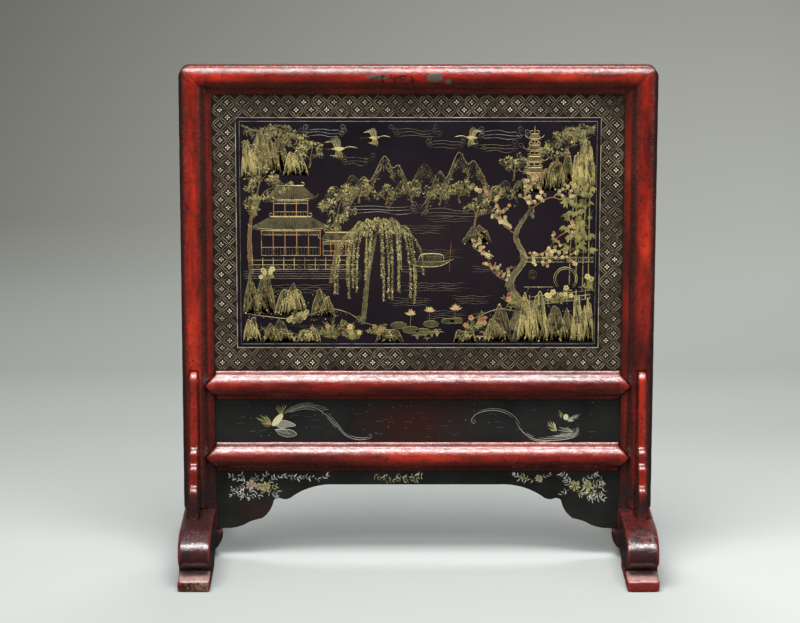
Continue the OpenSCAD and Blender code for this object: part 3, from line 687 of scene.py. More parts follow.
class Picture:
    """The gold picture: its strokes, and the points on which leaves, blossoms and dots are set"""

    def __init__(self):
        self.rng = random.Random(11)
        self.far, self.near, self.rocks = (Touches(self.rng, limits=VIEW) for _ in range(3))
        self.leaves, self.blossoms, self.dots = [], [], []

    def set(self, points, x, z, turn, size, tone, vary=0.3):
        """Adds a point for a single touch, if it lies in the field"""
        left, low, right, high = VIEW
        if left + MARGIN < x < right - MARGIN and low + MARGIN < z < high - MARGIN:
            points.append((x, z, turn, size, shade(self.rng, tone, vary)))

    def hill(self, crest, depth, tone):
        """A far hill: a line along the crest, short hatching below it, and trees as dots"""
        rng, line = self.rng, curve(crest, 1.5)
        self.far.line(line, 0.8, tone)
        for (x, z), (nx, nz) in zip(line, line[1:]):
            lean = -0.6 * math.sin(math.atan2(nz - z, nx - x))
            for _ in range(2):
                drop, top = depth * rng.uniform(0.15, 0.6), z - depth * rng.uniform(0.0, 0.5)
                self.far.line(curve([(x, top), (x + 0.3 * lean * drop, top - 0.5 * drop),
                                     (x + (lean + rng.uniform(-0.2, 0.2)) * drop, top - drop)], 3.5), 0.5,
                              rng.choice((tone, DIM)), 0.13, vary=0.4)
            for _ in range(2):
                if rng.random() < 0.5:
                    self.set(self.dots, x + rng.uniform(-1, 1), z + rng.uniform(-depth, 1.8), 0,
                             rng.uniform(0.8, 1.7), rng.choice((tone, DIM, OLIVE)))

    def cloud(self, x, z, w, tone):
        """Drifting cloud: flowing lines that end in scrolls"""
        rng = self.rng
        for k in range(3):
            a, b = x - w * rng.uniform(0.3, 0.55), x + w * rng.uniform(0.3, 0.55)
            y = z - 3.4 * k
            self.far.line(curve([(a, y), (0.6 * a + 0.4 * b, y + rng.uniform(0.5, 2.0)),
                                 (0.3 * a + 0.7 * b, y - rng.uniform(0, 1.2)), (b, y + 0.5)], 3), 0.55,
                          tone, 0.15, vary=0.3)
            for end, way in ((a, -1), (b, 1)):
                t = np.linspace(0, 1, 18)
                r = 3.3 * (1 - 0.75 * t)
                angle = np.radians(-90 + way * 470 * t)
                self.far.line(np.column_stack((end + r * np.cos(angle), y + 3.3 + r * np.sin(angle))), 0.55,
                              tone, 0.15, vary=0.3)

    def rock(self, x, z, w, h, tone, stones):
        """A stack of broken stones, washed with gold and hatched down from each crest"""
        rng = self.rng
        for k in range(stones):
            cw, ch = w * rng.uniform(0.34, 0.6), h * (1 - 0.6 * k / stones) * rng.uniform(0.8, 1.05)
            cx = x + rng.uniform(-0.5, 0.5) * (w - cw)
            crest = [(cx + cw * (f - 0.5) + rng.uniform(-0.7, 0.7),
                      z + ch * (1 - abs(2 * f - 1) ** 2.4) * rng.uniform(0.78, 1.05))
                     for f in np.linspace(0, 1, 8)]
            self.rocks.patch(curve(crest, 3), "#2E2A1F", 0.07, vary=0.3)
            line = curve(crest, 1.5)
            self.rocks.line(line, 0.9, tone)
            bright = rng.uniform(0.2, 0.6)
            for i, (px, pz) in enumerate(line):
                if i / len(line) > bright + 0.4 or pz - z < 2:
                    continue
                drop = (pz - z) * rng.uniform(0.2, 0.85)
                lean = rng.uniform(-0.05, 0.32)
                self.rocks.line(curve([(px, pz), (px + lean * drop * 0.3, pz - 0.5 * drop),
                                      (px + lean * drop, pz - drop)], 3), 0.6, tone, 0.16, vary=0.4)
            for _ in range(int(cw / 5)):
                px, pz = line[rng.randrange(len(line))]
                self.set(self.dots, px + rng.uniform(-1, 1), pz - rng.uniform(0, 3), 0,
                         rng.uniform(1.0, 1.9), PALE)

    def limb(self, points, w0, w1, tone, bark=True):
        """A trunk or branch that thins from w0 to w1, with rough bark"""
        rng, line = self.rng, curve(points, 2.0)
        widths = np.linspace(w0, w1, len(line)) * [rng.uniform(0.85, 1.15) for _ in line]
        self.near.line(line, widths, DIM, 0.14, (1, 0.6), vary=0.1)
        for side in (-0.36, 0.36):
            self.near.line(line + np.column_stack((widths * side, 0 * widths)), 0.25 + 0.12 * widths, tone,
                           0.22)
        if bark:
            for (x, z), w in zip(line, widths):
                if rng.random() < 0.6:
                    s = rng.uniform(-0.3, 0.3) * w
                    self.near.line(arc(x + s, z, 0.3 * w, 0.4 * w, 20, 200, 6), 0.4, tone, 0.24, vary=0.3)
        return line

    def crown(self, x, z, rx, rz, count, size, droop=False):
        """A cushion of leaves in clumps, lighter above and at the rim"""
        rng = self.rng
        clumps = [(rng.uniform(0, 360), math.sqrt(rng.random())) for _ in range(max(3, count // 16))]
        for k in range(count):
            a, r = clumps[k % len(clumps)]
            cx, cz = toward(x, z, a, rx * r, rz * r)
            turn = rng.uniform(0, 360) if not droop else -90 + rng.uniform(-60, 60)
            reach = size * rng.uniform(0.2, 0.9)
            tones = (PALE, OLIVE, KHAKI) if math.sin(math.radians(turn)) > 0.2 else (OLIVE, DIM, DIM)
            self.set(self.leaves, *toward(cx, cz, turn, reach, reach), turn, size * rng.uniform(0.6, 1.1),
                     rng.choice(tones))

    def tree(self, root, crown, w, size, clumps):
        """A leafy tree: a bent trunk and boughs that each carry cushions of leaves"""
        rng = self.rng
        self.limb([root, (0.6 * root[0] + 0.4 * crown[0] + rng.uniform(-4, 4), 0.5 * (root[1] + crown[1])),
                   crown], w, 0.35 * w, AMBER)
        for dx, dz, rx, rz in clumps:
            tip = (crown[0] + dx, crown[1] + dz)
            self.limb([(0.3 * root[0] + 0.7 * crown[0], 0.3 * root[1] + 0.7 * crown[1]),
                       (crown[0] + 0.4 * dx, crown[1] + 0.6 * dz - 3), tip], 0.3 * w, 0.8, KHAKI, False)
            self.crown(tip[0], tip[1], rx, rz, int(0.55 * rx * rz * math.pi * 9 / size ** 2), size)

    def willow(self, root, crown, reach, drop, count, tone):
        """A weeping willow: a bent trunk and hanging switches with narrow leaves"""
        rng = self.rng
        self.limb([root, (root[0] + 5, 0.5 * (root[1] + crown[1])), (crown[0] - 3, crown[1] - 8), crown], 7,
                  2.6, tone)
        for k in range(count):
            f = 2 * k / (count - 1) - 1
            tip = (crown[0] + reach * f + rng.uniform(-4, 4), crown[1] - drop * rng.uniform(0.45, 1.0))
            bend = (crown[0] + reach * 0.75 * f, crown[1] + 15 * (1 - f * f) + rng.uniform(-3, 3))
            line = curve([(crown[0] + 4 * f, crown[1] - rng.uniform(0, 9)), bend,
                          (tip[0] - 1.5 * f, 0.5 * (bend[1] + tip[1])), tip], 2.4)
            self.near.line(line, 0.5, tone, 0.2, vary=0.3)
            for x, z in line[4:]:
                for side in (-1, 1):
                    self.set(self.leaves, x, z, -90 + side * rng.uniform(12, 42), rng.uniform(2.2, 3.6),
                             rng.choice((tone, KHAKI, DIM, PALE)))

    def plum(self):
        """An old plum tree in flower: an angular trunk with twigs and five-petalled blossoms"""
        rng = self.rng
        trunk = [(98, 250), (108, 276), (97, 300), (112, 326), (103, 352), (118, 380)]
        self.limb(trunk, 13, 4.5, KHAKI)
        for path, w in (([(112, 326), (134, 334), (150, 352), (172, 360)], 3.6),
                        ([(97, 300), (80, 312), (72, 330), (58, 338)], 3.2),
                        ([(118, 380), (112, 398), (124, 414), (120, 430)], 2.8),
                        ([(118, 380), (138, 392), (156, 390), (176, 402)], 2.6),
                        ([(103, 352), (88, 366), (84, 384), (70, 394)], 2.6),
                        ([(134, 334), (146, 326), (160, 330)], 2.0)):
            line = self.limb(path, w, 0.9, AMBER, False)
            for x, z in line[2::2]:
                if rng.random() < 0.75:
                    turn = rng.uniform(20, 160) if rng.random() < 0.7 else rng.uniform(-160, -20)
                    run = rng.uniform(6, 15)
                    end = toward(x, z, turn, run, run)
                    bend = (0.5 * (x + end[0]) + rng.uniform(-1, 1), 0.5 * (z + end[1]))
                    twig = curve([(x, z), bend, end], 2.5)
                    self.near.line(twig, 0.6, KHAKI, 0.2)
                    for px, pz in twig[1:]:
                        if rng.random() < 0.72:
                            self.set(self.blossoms, px + rng.uniform(-1.5, 1.5),
                                     pz + rng.uniform(-1.5, 1.5), rng.uniform(0, 72), rng.uniform(3.2, 4.8),
                                     rng.choice((PALE, PALE, KHAKI, "#C9BC8E", BRICK)))
                        else:
                            self.set(self.dots, px, pz, 0, rng.uniform(1.2, 1.9), ROSE)

    def bamboo(self, x, z, height, tone):
        """A jointed cane that leans as it rises, with leaves in threes"""
        rng, length = self.rng, 12
        lean, joint = rng.uniform(-3, 5), z
        while joint < z + height:
            f, g = (joint - z) / height, min(1, (joint + length - z) / height)
            foot, head = (x + lean * f * f, joint + 0.7), (x + lean * g * g, joint + length - 0.6)
            self.near.line(np.linspace(foot, head, 4), 1.7, tone, 0.2, BLUNT)
            if f > 0.25:
                for _ in range(3):
                    way = rng.choice((-1, 1))
                    px, pz = foot[0] + way * rng.uniform(3, 9), joint + rng.uniform(2, 12)
                    self.near.line(curve([(foot[0], joint), (px, pz)], 3), 0.4, tone, 0.16)
                    for turn in (-28, -62, -95):
                        outward = turn if way > 0 else 180 - turn
                        self.set(self.leaves, px, pz, outward + rng.uniform(-12, 12), rng.uniform(5, 8),
                                 tone)
            joint += length

    def grass(self, x, z, size, tone):
        """A tuft of seven blades"""
        rng = self.rng
        for k in range(7):
            f = (k - 3) / 3
            self.near.line(curve([(x, z), (x + 0.35 * f * size, z + 0.7 * size),
                                  (x + f * size, z + size * rng.uniform(0.5, 1.1) * (1.1 - 0.4 * abs(f)))],
                                 3), 0.55, tone, 0.18, (1, 0.15), vary=0.35)

    def water(self, x, z, w, rows):
        """Ripples, one row below the other"""
        rng = self.rng
        for k in range(rows):
            y, a = z - 2.6 * k, x - w * rng.uniform(0.3, 0.5)
            b = x + w * rng.uniform(0.3, 0.5)
            t = np.linspace(0, 1, max(6, int((b - a) / 2)))
            self.far.line(np.column_stack((a + (b - a) * t, y + 0.55 * np.sin(t * (b - a) / 3.2 + k))),
                          0.45, DIM, 0.12, vary=0.3)

    def roof(self, x, z, w, h, tone, ridge):
        """A hipped roof with upswept eaves; its tiles run from the ridge down to the eaves"""
        f = np.linspace(-1, 1, 41)
        eave = np.column_stack((x + 0.5 * w * f, z + 0.2 * h * np.abs(f) ** 3))
        top = np.column_stack((x + 0.5 * w * ridge * f, z + h + 0 * f))
        self.near.patch(np.vstack((eave[::4], top[::-4])), "#4A4530", 0.09, vary=0.1)
        for e, t in zip(eave[::2], top[::2]):
            mid = 0.5 * (e + t) - (0, 0.09 * h)
            self.near.line(curve([t, mid, e], 3), 0.62, tone, 0.19, vary=0.25)
        self.near.line(eave, 1.0, PALE, 0.24)
        self.near.line(eave - (0, 1.7), 0.6, tone, 0.2)
        self.near.line(top, 1.5, PALE, 0.26, BLUNT)
        for way, end, tip in ((-1, top[0], eave[0]), (1, top[-1], eave[-1])):
            self.near.line(arc(end[0] - way * 0.5, end[1] + 1.6, 1.8, 2.0, -90, -90 + way * 230, 9), 0.8,
                           PALE, 0.25)
            self.near.line(curve([tip, tip + (way * 2.2, 1.2), tip + (way * 3.0, 3.4)], 1), 0.9, PALE, 0.24)

    def hall(self, x, z, w, h, bays, tone):
        """Open bays between columns, with lattice below and a frieze above"""
        for k in range(bays + 1):
            cx = x - 0.5 * w + w * k / bays
            self.near.line(np.linspace((cx, z), (cx, z + h), 6), 1.2, AMBER, 0.22, BLUNT)
        for y, width in ((z, 1.0), (z + 0.33 * h, 0.7), (z + 0.82 * h, 0.7), (z + h, 0.9)):
            self.near.line(np.linspace((x - 0.5 * w, y), (x + 0.5 * w, y), 16), width, tone, 0.2, BLUNT)
        for k in range(bays * 4):
            cx = x - 0.5 * w + w * (k + 0.5) / (bays * 4)
            self.near.line(np.linspace((cx, z), (cx, z + 0.33 * h), 3), 0.4, KHAKI, 0.16, BLUNT, vary=0.3)
            self.near.line(arc(cx, z + 0.91 * h, w / bays / 10, 0.06 * h, 0, 360, 7), 0.4, KHAKI, 0.16,
                           BLUNT, vary=0.3)

    def fence(self, start, end, h, posts, tone):
        """A railing with crossed braces between its posts"""
        a, b = np.array(start, float), np.array(end, float)
        for f in (0, 0.5, 1):
            self.near.line(np.linspace(a + (0, h * f), b + (0, h * f), 16), 0.7, tone, 0.2, BLUNT)
        for k in range(posts + 1):
            p = a + (b - a) * k / posts
            self.near.line([p, p + (0, h * 0.6), p + (0, h * 1.25)], 1.1, PALE, 0.24, BLUNT)
            if k < posts:
                q = a + (b - a) * (k + 1) / posts
                self.near.line(np.linspace(p, q + (0, 0.5 * h), 3), 0.4, KHAKI, 0.15)
                self.near.line(np.linspace(p + (0, 0.5 * h), q, 3), 0.4, KHAKI, 0.15)

    def pavilion(self, x, z):
        """A two-storeyed waterside pavilion with a gallery, on a terrace"""
        self.roof(x, z + 66, 52, 15, KHAKI, 0.5)
        self.hall(x, z + 47, 36, 18, 3, KHAKI)
        self.roof(x, z + 34, 84, 14, KHAKI, 0.5)
        self.hall(x, z + 6, 62, 27, 5, KHAKI)
        self.roof(x + 52, z + 22, 40, 9, OLIVE, 0.75)
        self.hall(x + 50, z + 6, 32, 15, 4, KHAKI)
        self.fence((x - 52, z - 9), (x + 70, z - 9), 10, 11, KHAKI)
        left, right, top, course, brick = x - 55, x + 74, z - 11, 2.6, 3.2
        for k in range(4):
            y = top - course * k
            self.near.line(np.linspace((left, y), (right, y), 24), 0.6, DIM, 0.18, BLUNT)
        for k in range(40):
            cx, y = left + 1 + brick * k, top - course * (k % 3)
            self.near.line(np.linspace((cx, y), (cx, y - course), 2), 0.5, DIM, 0.17, BLUNT)

    def pagoda(self, x, z):
        """A far pagoda: four storeys that shrink upwards, and a spire"""
        for k in range(4):
            self.hall(x, z + 12 * k, 14 - 2.4 * k, 7, 2, KHAKI)
            self.roof(x, z + 7 + 12 * k, 27 - 4.5 * k, 5, KHAKI, 0.5)
        self.near.line(np.linspace((x, z + 48), (x, z + 57), 5), 1.0, PALE, 0.22)

    def garden_wall(self, x0, x1, z, h, gate):
        """A tiled wall with a round gate and round windows"""
        eave, tile, gap, count = z + h - 5, 3, 13, 40
        for y, width in ((z, 0.8), (eave, 0.7), (z + h, 1.0)):
            line = np.linspace((x0, y), (x1, y), count)
            clear = np.abs(line[:, 0] - gate) > gap if y < eave else np.ones(count, bool)
            for part in (line[clear & (line[:, 0] < gate)], line[clear & (line[:, 0] >= gate)]):
                if len(part) > 1:
                    self.near.line(part, width, KHAKI, 0.2, BLUNT)
        for k in range(int((x1 - x0) / tile)):
            self.near.line(arc(x0 + (k + 0.5) * tile, eave, 1.5, 4.2, 0, 180, 7), 0.5, KHAKI, 0.17,
                           vary=0.3)
        for r in (12.5, 10.5):
            self.near.line(arc(gate, z + 9, r, r, -48, 228, 30), 0.8, PALE, 0.22)
        for cx in np.arange(x0 + 9, x1, 17):
            if abs(cx - gate) > 20:
                for r in (4.6, 2.3):
                    self.near.line(arc(cx, z + 0.42 * h, r, r, 0, 360, 9), 0.5, KHAKI, 0.18)

    def boat(self, x, z):
        """A covered boat at its mooring pole"""
        hull = curve([(x - 24, z + 5), (x - 14, z - 1), (x + 10, z - 1.5), (x + 26, z + 6.5)], 2)
        self.near.patch(np.vstack((hull, [(x + 18, z + 5), (x - 14, z + 4)])), "#5A4E30", 0.09)
        self.near.line(hull, 1.1, PALE, 0.22)
        self.near.line(curve([(x - 24, z + 5), (x - 10, z + 3.4), (x + 12, z + 3.4), (x + 26, z + 6.5)], 2),
                       0.7, KHAKI, 0.2)
        for k in range(15):
            cx = x - 11 + 1.6 * k
            self.near.line(curve([(cx, z + 3.5), (cx + 0.8, z + 8.5), (cx + 2, z + 11)], 2), 0.5, KHAKI,
                           0.18, vary=0.3)
        self.near.line(curve([(x - 12, z + 4), (x - 9, z + 10.5), (x + 2, z + 12), (x + 14, z + 10.5),
                              (x + 15, z + 4)], 2), 0.9, PALE, 0.24)
        self.near.line(np.linspace((x + 21, z - 8), (x + 23, z + 26), 8), 0.7, AMBER, 0.2)

    def crane(self, x, z, way, size):
        """A flying crane with spread wings"""
        def at(u, v):
            """A place on the bird, in its own measure"""
            return (x + way * size * u, z + size * v)

        self.near.patch(curve([at(-0.5, 0), at(0, 0.16), at(0.45, 0.05), at(0.1, -0.14), at(-0.5, 0)],
                              2)[:-1], PALE, 0.16)
        self.near.line(curve([at(0.4, 0.04), at(0.75, 0.16), at(1.15, 0.12), at(1.4, 0.05)], 2), 0.9, PALE,
                       0.22, (1, 0.2))
        for k in range(2):
            self.near.line([at(-0.45, -0.02 * k), at(-1.2, 0.03 - 0.1 * k)], 0.4, AMBER, 0.18)
        for k in range(9):
            f = k / 8
            self.near.line(curve([at(0.2 - 0.4 * f, 0.08), at(0.15 - 0.6 * f, 0.6 - 0.12 * f),
                                  at(-0.1 - 0.85 * f, 0.95 - 0.5 * f)], 2), 0.7, PALE if k % 3 else SILVER,
                           0.2, (0.6, 0.2))
            self.near.line(curve([at(0.15 - 0.3 * f, -0.05), at(0.3 - 0.5 * f, -0.45),
                                  at(0.25 - 0.8 * f, -0.8 + 0.35 * f)], 2), 0.6, KHAKI if k % 2 else PALE,
                           0.19, (0.6, 0.2))

    def lotus(self, x, z, w):
        """Lotus leaves and flowers on the water"""
        rng, count = self.rng, 6
        for k in range(count):
            cx = x + w * (k / (count - 1) - 0.5) + rng.uniform(-3, 3)
            cz, r = z + rng.uniform(-5, 9), rng.uniform(6.5, 10)
            self.near.patch(arc(cx, cz, r, 0.42 * r, 0, 340, 14), "#4C4A2C", 0.09)
            self.near.line(arc(cx, cz, r, 0.42 * r, 0, 360, 18), 0.7, OLIVE, 0.2)
            for turn in range(0, 360, 30):
                self.near.line([(cx, cz), toward(cx, cz, turn, 0.9 * r, 0.37 * r)], 0.4, OLIVE, 0.17,
                               vary=0.3)
            if k % 2:
                fx, fz = cx + rng.uniform(-4, 4), cz + rng.uniform(11, 17)
                self.near.line(curve([(cx, cz), (fx - 1, 0.5 * (cz + fz)), (fx, fz)], 3), 0.6, KHAKI, 0.18)
                for turn in (20, 50, 70, 90, 110, 130, 160):
                    self.set(self.leaves, fx, fz, turn, rng.uniform(5.5, 7.5), rng.choice((ROSE, PALE)),
                             0.2)

    def shrub(self, x, z, count, size, tone, bloom):
        """Leafy stems from one root, some with a flower"""
        rng = self.rng
        for _ in range(count):
            turn, run = rng.uniform(25, 155), size * rng.uniform(0.5, 1.1)
            tip = toward(x, z, turn, run, run)
            line = curve([(x, z), (0.4 * x + 0.6 * tip[0], 0.5 * (z + tip[1]) + 1), tip], 2.6)
            self.near.line(line, 0.5, tone, 0.18)
            for px, pz in line[1:]:
                for side in (-1, 1):
                    self.set(self.leaves, px, pz, turn + side * rng.uniform(30, 70), rng.uniform(2.4, 4.0),
                             tone)
            if rng.random() < 0.6:
                self.set(self.blossoms, tip[0], tip[1], rng.uniform(0, 72), rng.uniform(4.5, 7), bloom)

    def shore(self, points, tone):
        """A bank with pebbles and grass"""
        rng, line = self.rng, curve(points, 2.5)
        self.near.line(line, 0.9, tone, 0.2)
        for x, z in line:
            if rng.random() < 0.5:
                self.set(self.dots, x + rng.uniform(-2, 2), z + rng.uniform(-3.5, 1), 0,
                         rng.uniform(0.8, 1.7), KHAKI)
            if rng.random() < 0.14:
                self.grass(x, z, rng.uniform(4, 7), OLIVE)

    def draw(self):
        """The garden, from far to near"""
        rng = self.rng
        for depth, tone, crest in (
                (14, DIM, [(-98, 392), (-88, 404), (-80, 400), (-70, 416), (-60, 406), (-52, 398)]),
                (20, KHAKI, [(-72, 394), (-58, 414), (-50, 410), (-36, 436), (-27, 424), (-20, 426),
                             (-8, 402)]),
                (18, DIM, [(-30, 392), (-16, 412), (-8, 408), (6, 428), (18, 414), (30, 396)]),
                (22, KHAKI, [(10, 394), (22, 420), (30, 414), (42, 440), (52, 428), (60, 430), (76, 400)]),
                (13, DIM, [(58, 390), (72, 404), (80, 400), (92, 410), (104, 392)])):
            self.hill(crest, depth, tone)
        for rock in ((-160, 418, 54, 50, KHAKI, 8), (-128, 416, 36, 34, PALE, 6),
                     (-176, 414, 24, 58, PALE, 5)):
            self.rock(*rock)
        self.pagoda(122, 412)
        for rock in ((148, 400, 46, 44, KHAKI, 7), (174, 396, 28, 66, PALE, 7),
                     (114, 398, 40, 20, KHAKI, 6)):
            self.rock(*rock)
        for x, z, k in ((-148, 440, 3.0), (-126, 430, 2.6), (-114, 424, 2.4), (138, 424, 2.6),
                        (156, 434, 3.0), (100, 410, 2.6), (170, 440, 2.8)):
            self.tree((x, z), (x + 1, z + 5 * k), k, 2.6,
                      ((-3 * k, 2 * k, 3 * k, 2 * k), (k, 4 * k, 3.4 * k, 2 * k),
                       (3.6 * k, 1.4 * k, 3 * k, 1.8 * k)))
        for x, z, k in ((-84, 388, 2.2), (-62, 386, 2.6), (-34, 384, 2.2), (-6, 386, 2.6), (22, 384, 2.4),
                        (44, 386, 2.8), (84, 384, 2.4)):
            self.tree((x, z), (x + 1, z + 4 * k), k, 2.4,
                      ((-3 * k, k, 3 * k, 1.6 * k), (k, 3 * k, 3.4 * k, 2 * k),
                       (3.6 * k, k, 3 * k, 1.6 * k)))
        for x, z, w, tone in ((-40, 382, 80, SILVER), (34, 379, 76, DIM), (84, 462, 54, SILVER),
                              (84, 448, 44, DIM), (26, 452, 40, DIM), (-100, 464, 44, SILVER),
                              (-4, 464, 54, DIM), (-66, 434, 34, DIM)):
            self.cloud(x, z, w, tone)
        for x, z, way, size in ((-84, 444, 1, 15), (-46, 456, 1, 12), (56, 456, -1, 13)):
            self.crane(x, z, way, size)
        self.tree((-176, 310), (-172, 396), 7, 3.2, ((-6, 12, 14, 9), (12, 20, 15, 9), (26, 8, 13, 8),
                                                     (-4, -14, 9, 8), (10, -4, 12, 7)))
        self.tree((-92, 300), (-86, 372), 6, 3.0, ((-8, 10, 12, 8), (6, 18, 13, 8), (12, 2, 10, 7),
                                                   (-2, -10, 8, 6)))
        self.pavilion(-134, 324)
        for rock in ((-168, 268, 42, 44, KHAKI, 6), (-136, 266, 40, 38, PALE, 6),
                     (-104, 264, 34, 30, KHAKI, 5)):
            self.rock(*rock)
        self.shore([(-186, 268), (-160, 264), (-128, 262), (-96, 272), (-74, 268), (-58, 258), (-36, 252)],
                   KHAKI)
        self.willow((-58, 256), (-42, 356), 44, 76, 23, OLIVE)
        for x, z, w, rows in ((6, 362, 60, 4), (14, 300, 90, 4), (-10, 284, 60, 4), (56, 286, 50, 4),
                              (34, 372, 60, 3), (30, 270, 60, 4), (-96, 254, 80, 4), (60, 256, 40, 4),
                              (20, 336, 56, 4), (-8, 318, 40, 3), (70, 318, 30, 3), (-120, 298, 90, 4)):
            self.water(x, z, w, rows)
        self.boat(12, 320)
        self.rock(58, 344, 40, 20, KHAKI, 5)
        self.tree((58, 350), (62, 378), 3.4, 2.6, ((-7, 5, 8, 5), (4, 10, 9, 6), (10, 2, 8, 5)))
        self.garden_wall(112, 187, 296, 32, 156)
        self.plum()
        for x, z, h in ((160, 298, 96), (167, 300, 120), (174, 296, 138), (180, 298, 110)):
            self.bamboo(x, z, h, OLIVE)
        self.shore([(52, 258), (84, 272), (110, 270), (140, 282), (187, 288)], KHAKI)
        self.fence((118, 276), (187, 284), 9, 7, KHAKI)
        for rock in ((84, 237, 40, 40, KHAKI, 6), (118, 237, 42, 58, PALE, 7), (148, 237, 40, 44, KHAKI, 6),
                     (174, 237, 26, 56, PALE, 6), (-176, 237, 26, 30, PALE, 5),
                     (-148, 236, 40, 24, KHAKI, 6), (-112, 236, 34, 18, PALE, 5),
                     (-30, 236, 36, 16, KHAKI, 5), (52, 236, 30, 18, KHAKI, 5)):
            self.rock(*rock)
        self.lotus(10, 252, 66)
        for x, z, n, r, bloom in ((-92, 240, 11, 22, BRICK), (-66, 238, 9, 18, PALE),
                                  (-128, 256, 8, 16, PALE), (60, 250, 9, 20, BRICK),
                                  (148, 278, 9, 18, PALE), (102, 276, 8, 16, BRICK),
                                  (-160, 304, 7, 12, PALE), (-46, 244, 7, 14, BRICK),
                                  (182, 292, 7, 15, PALE)):
            self.shrub(x, z, n, r, OLIVE, bloom)
        for path in ([(-187, 470), (-168, 463), (-150, 466), (-130, 457)],
                     [(-187, 452), (-172, 447), (-158, 438)],
                     [(187, 470), (172, 462), (158, 466), (146, 459)]):
            for x, z in self.limb(path, 3, 0.8, KHAKI, False):
                self.crown(x, z, 6, 5, 8, 3.0, True)
        tufts, pebbles = 34, 420
        for _ in range(tufts):
            self.grass(rng.uniform(-180, 180), rng.uniform(237, 246), rng.uniform(4, 9),
                       rng.choice((OLIVE, KHAKI, PALE)))
        for _ in range(pebbles):
            x, z = rng.uniform(-184, 184), rng.uniform(238, 296)
            if abs(x) > 60 + 0.8 * abs(z - 240):
                self.set(self.dots, x, z, 0, rng.uniform(0.7, 1.5), rng.choice((DIM, KHAKI, OLIVE)))
        self.far.piece("picture_hills_and_water", GOLD, "gold_paint")
        self.near.piece("picture_trees_and_halls", GOLD, "gold_paint")
        self.rocks.piece("picture_rocks", GOLD, "gold_paint")
        scattered("picture_leaves", self.leaves, leaf_touch(), GOLD)
        scattered("picture_blossoms", self.blossoms, blossom_touch(), GOLD)
        scattered("picture_dots", self.dots, dot_touch(), GOLD)


# Birds on the waist panel and flower sprays on the apron

def strand(paint, path, offset, width, tone, start, end):
    """A line beside the path, from one share of its length to another"""
    line = curve(path, 1.6)
    t = np.linspace(0, 1, len(line))
    beside = line + square_to(line) * (offset * np.sin(np.pi * (0.15 + 0.7 * t)))[:, None]
    paint.line(beside[(t >= start) & (t <= end)], width, tone)


def fan(paint, root, tips, width, tones):
    """Feathers that spread from the root to the tips"""
    rng = paint.rng
    for tip in tips:
        bend = (0.5 * (root[0] + tip[0]) + rng.uniform(-0.8, 0.8),
                0.5 * (root[1] + tip[1]) + rng.uniform(-0.8, 0.8))
        paint.line(curve([root, bend, tip], 1.2), width * rng.uniform(0.8, 1.2), rng.choice(tones),
                   0.2, (0.9, 0.2), vary=0.25)


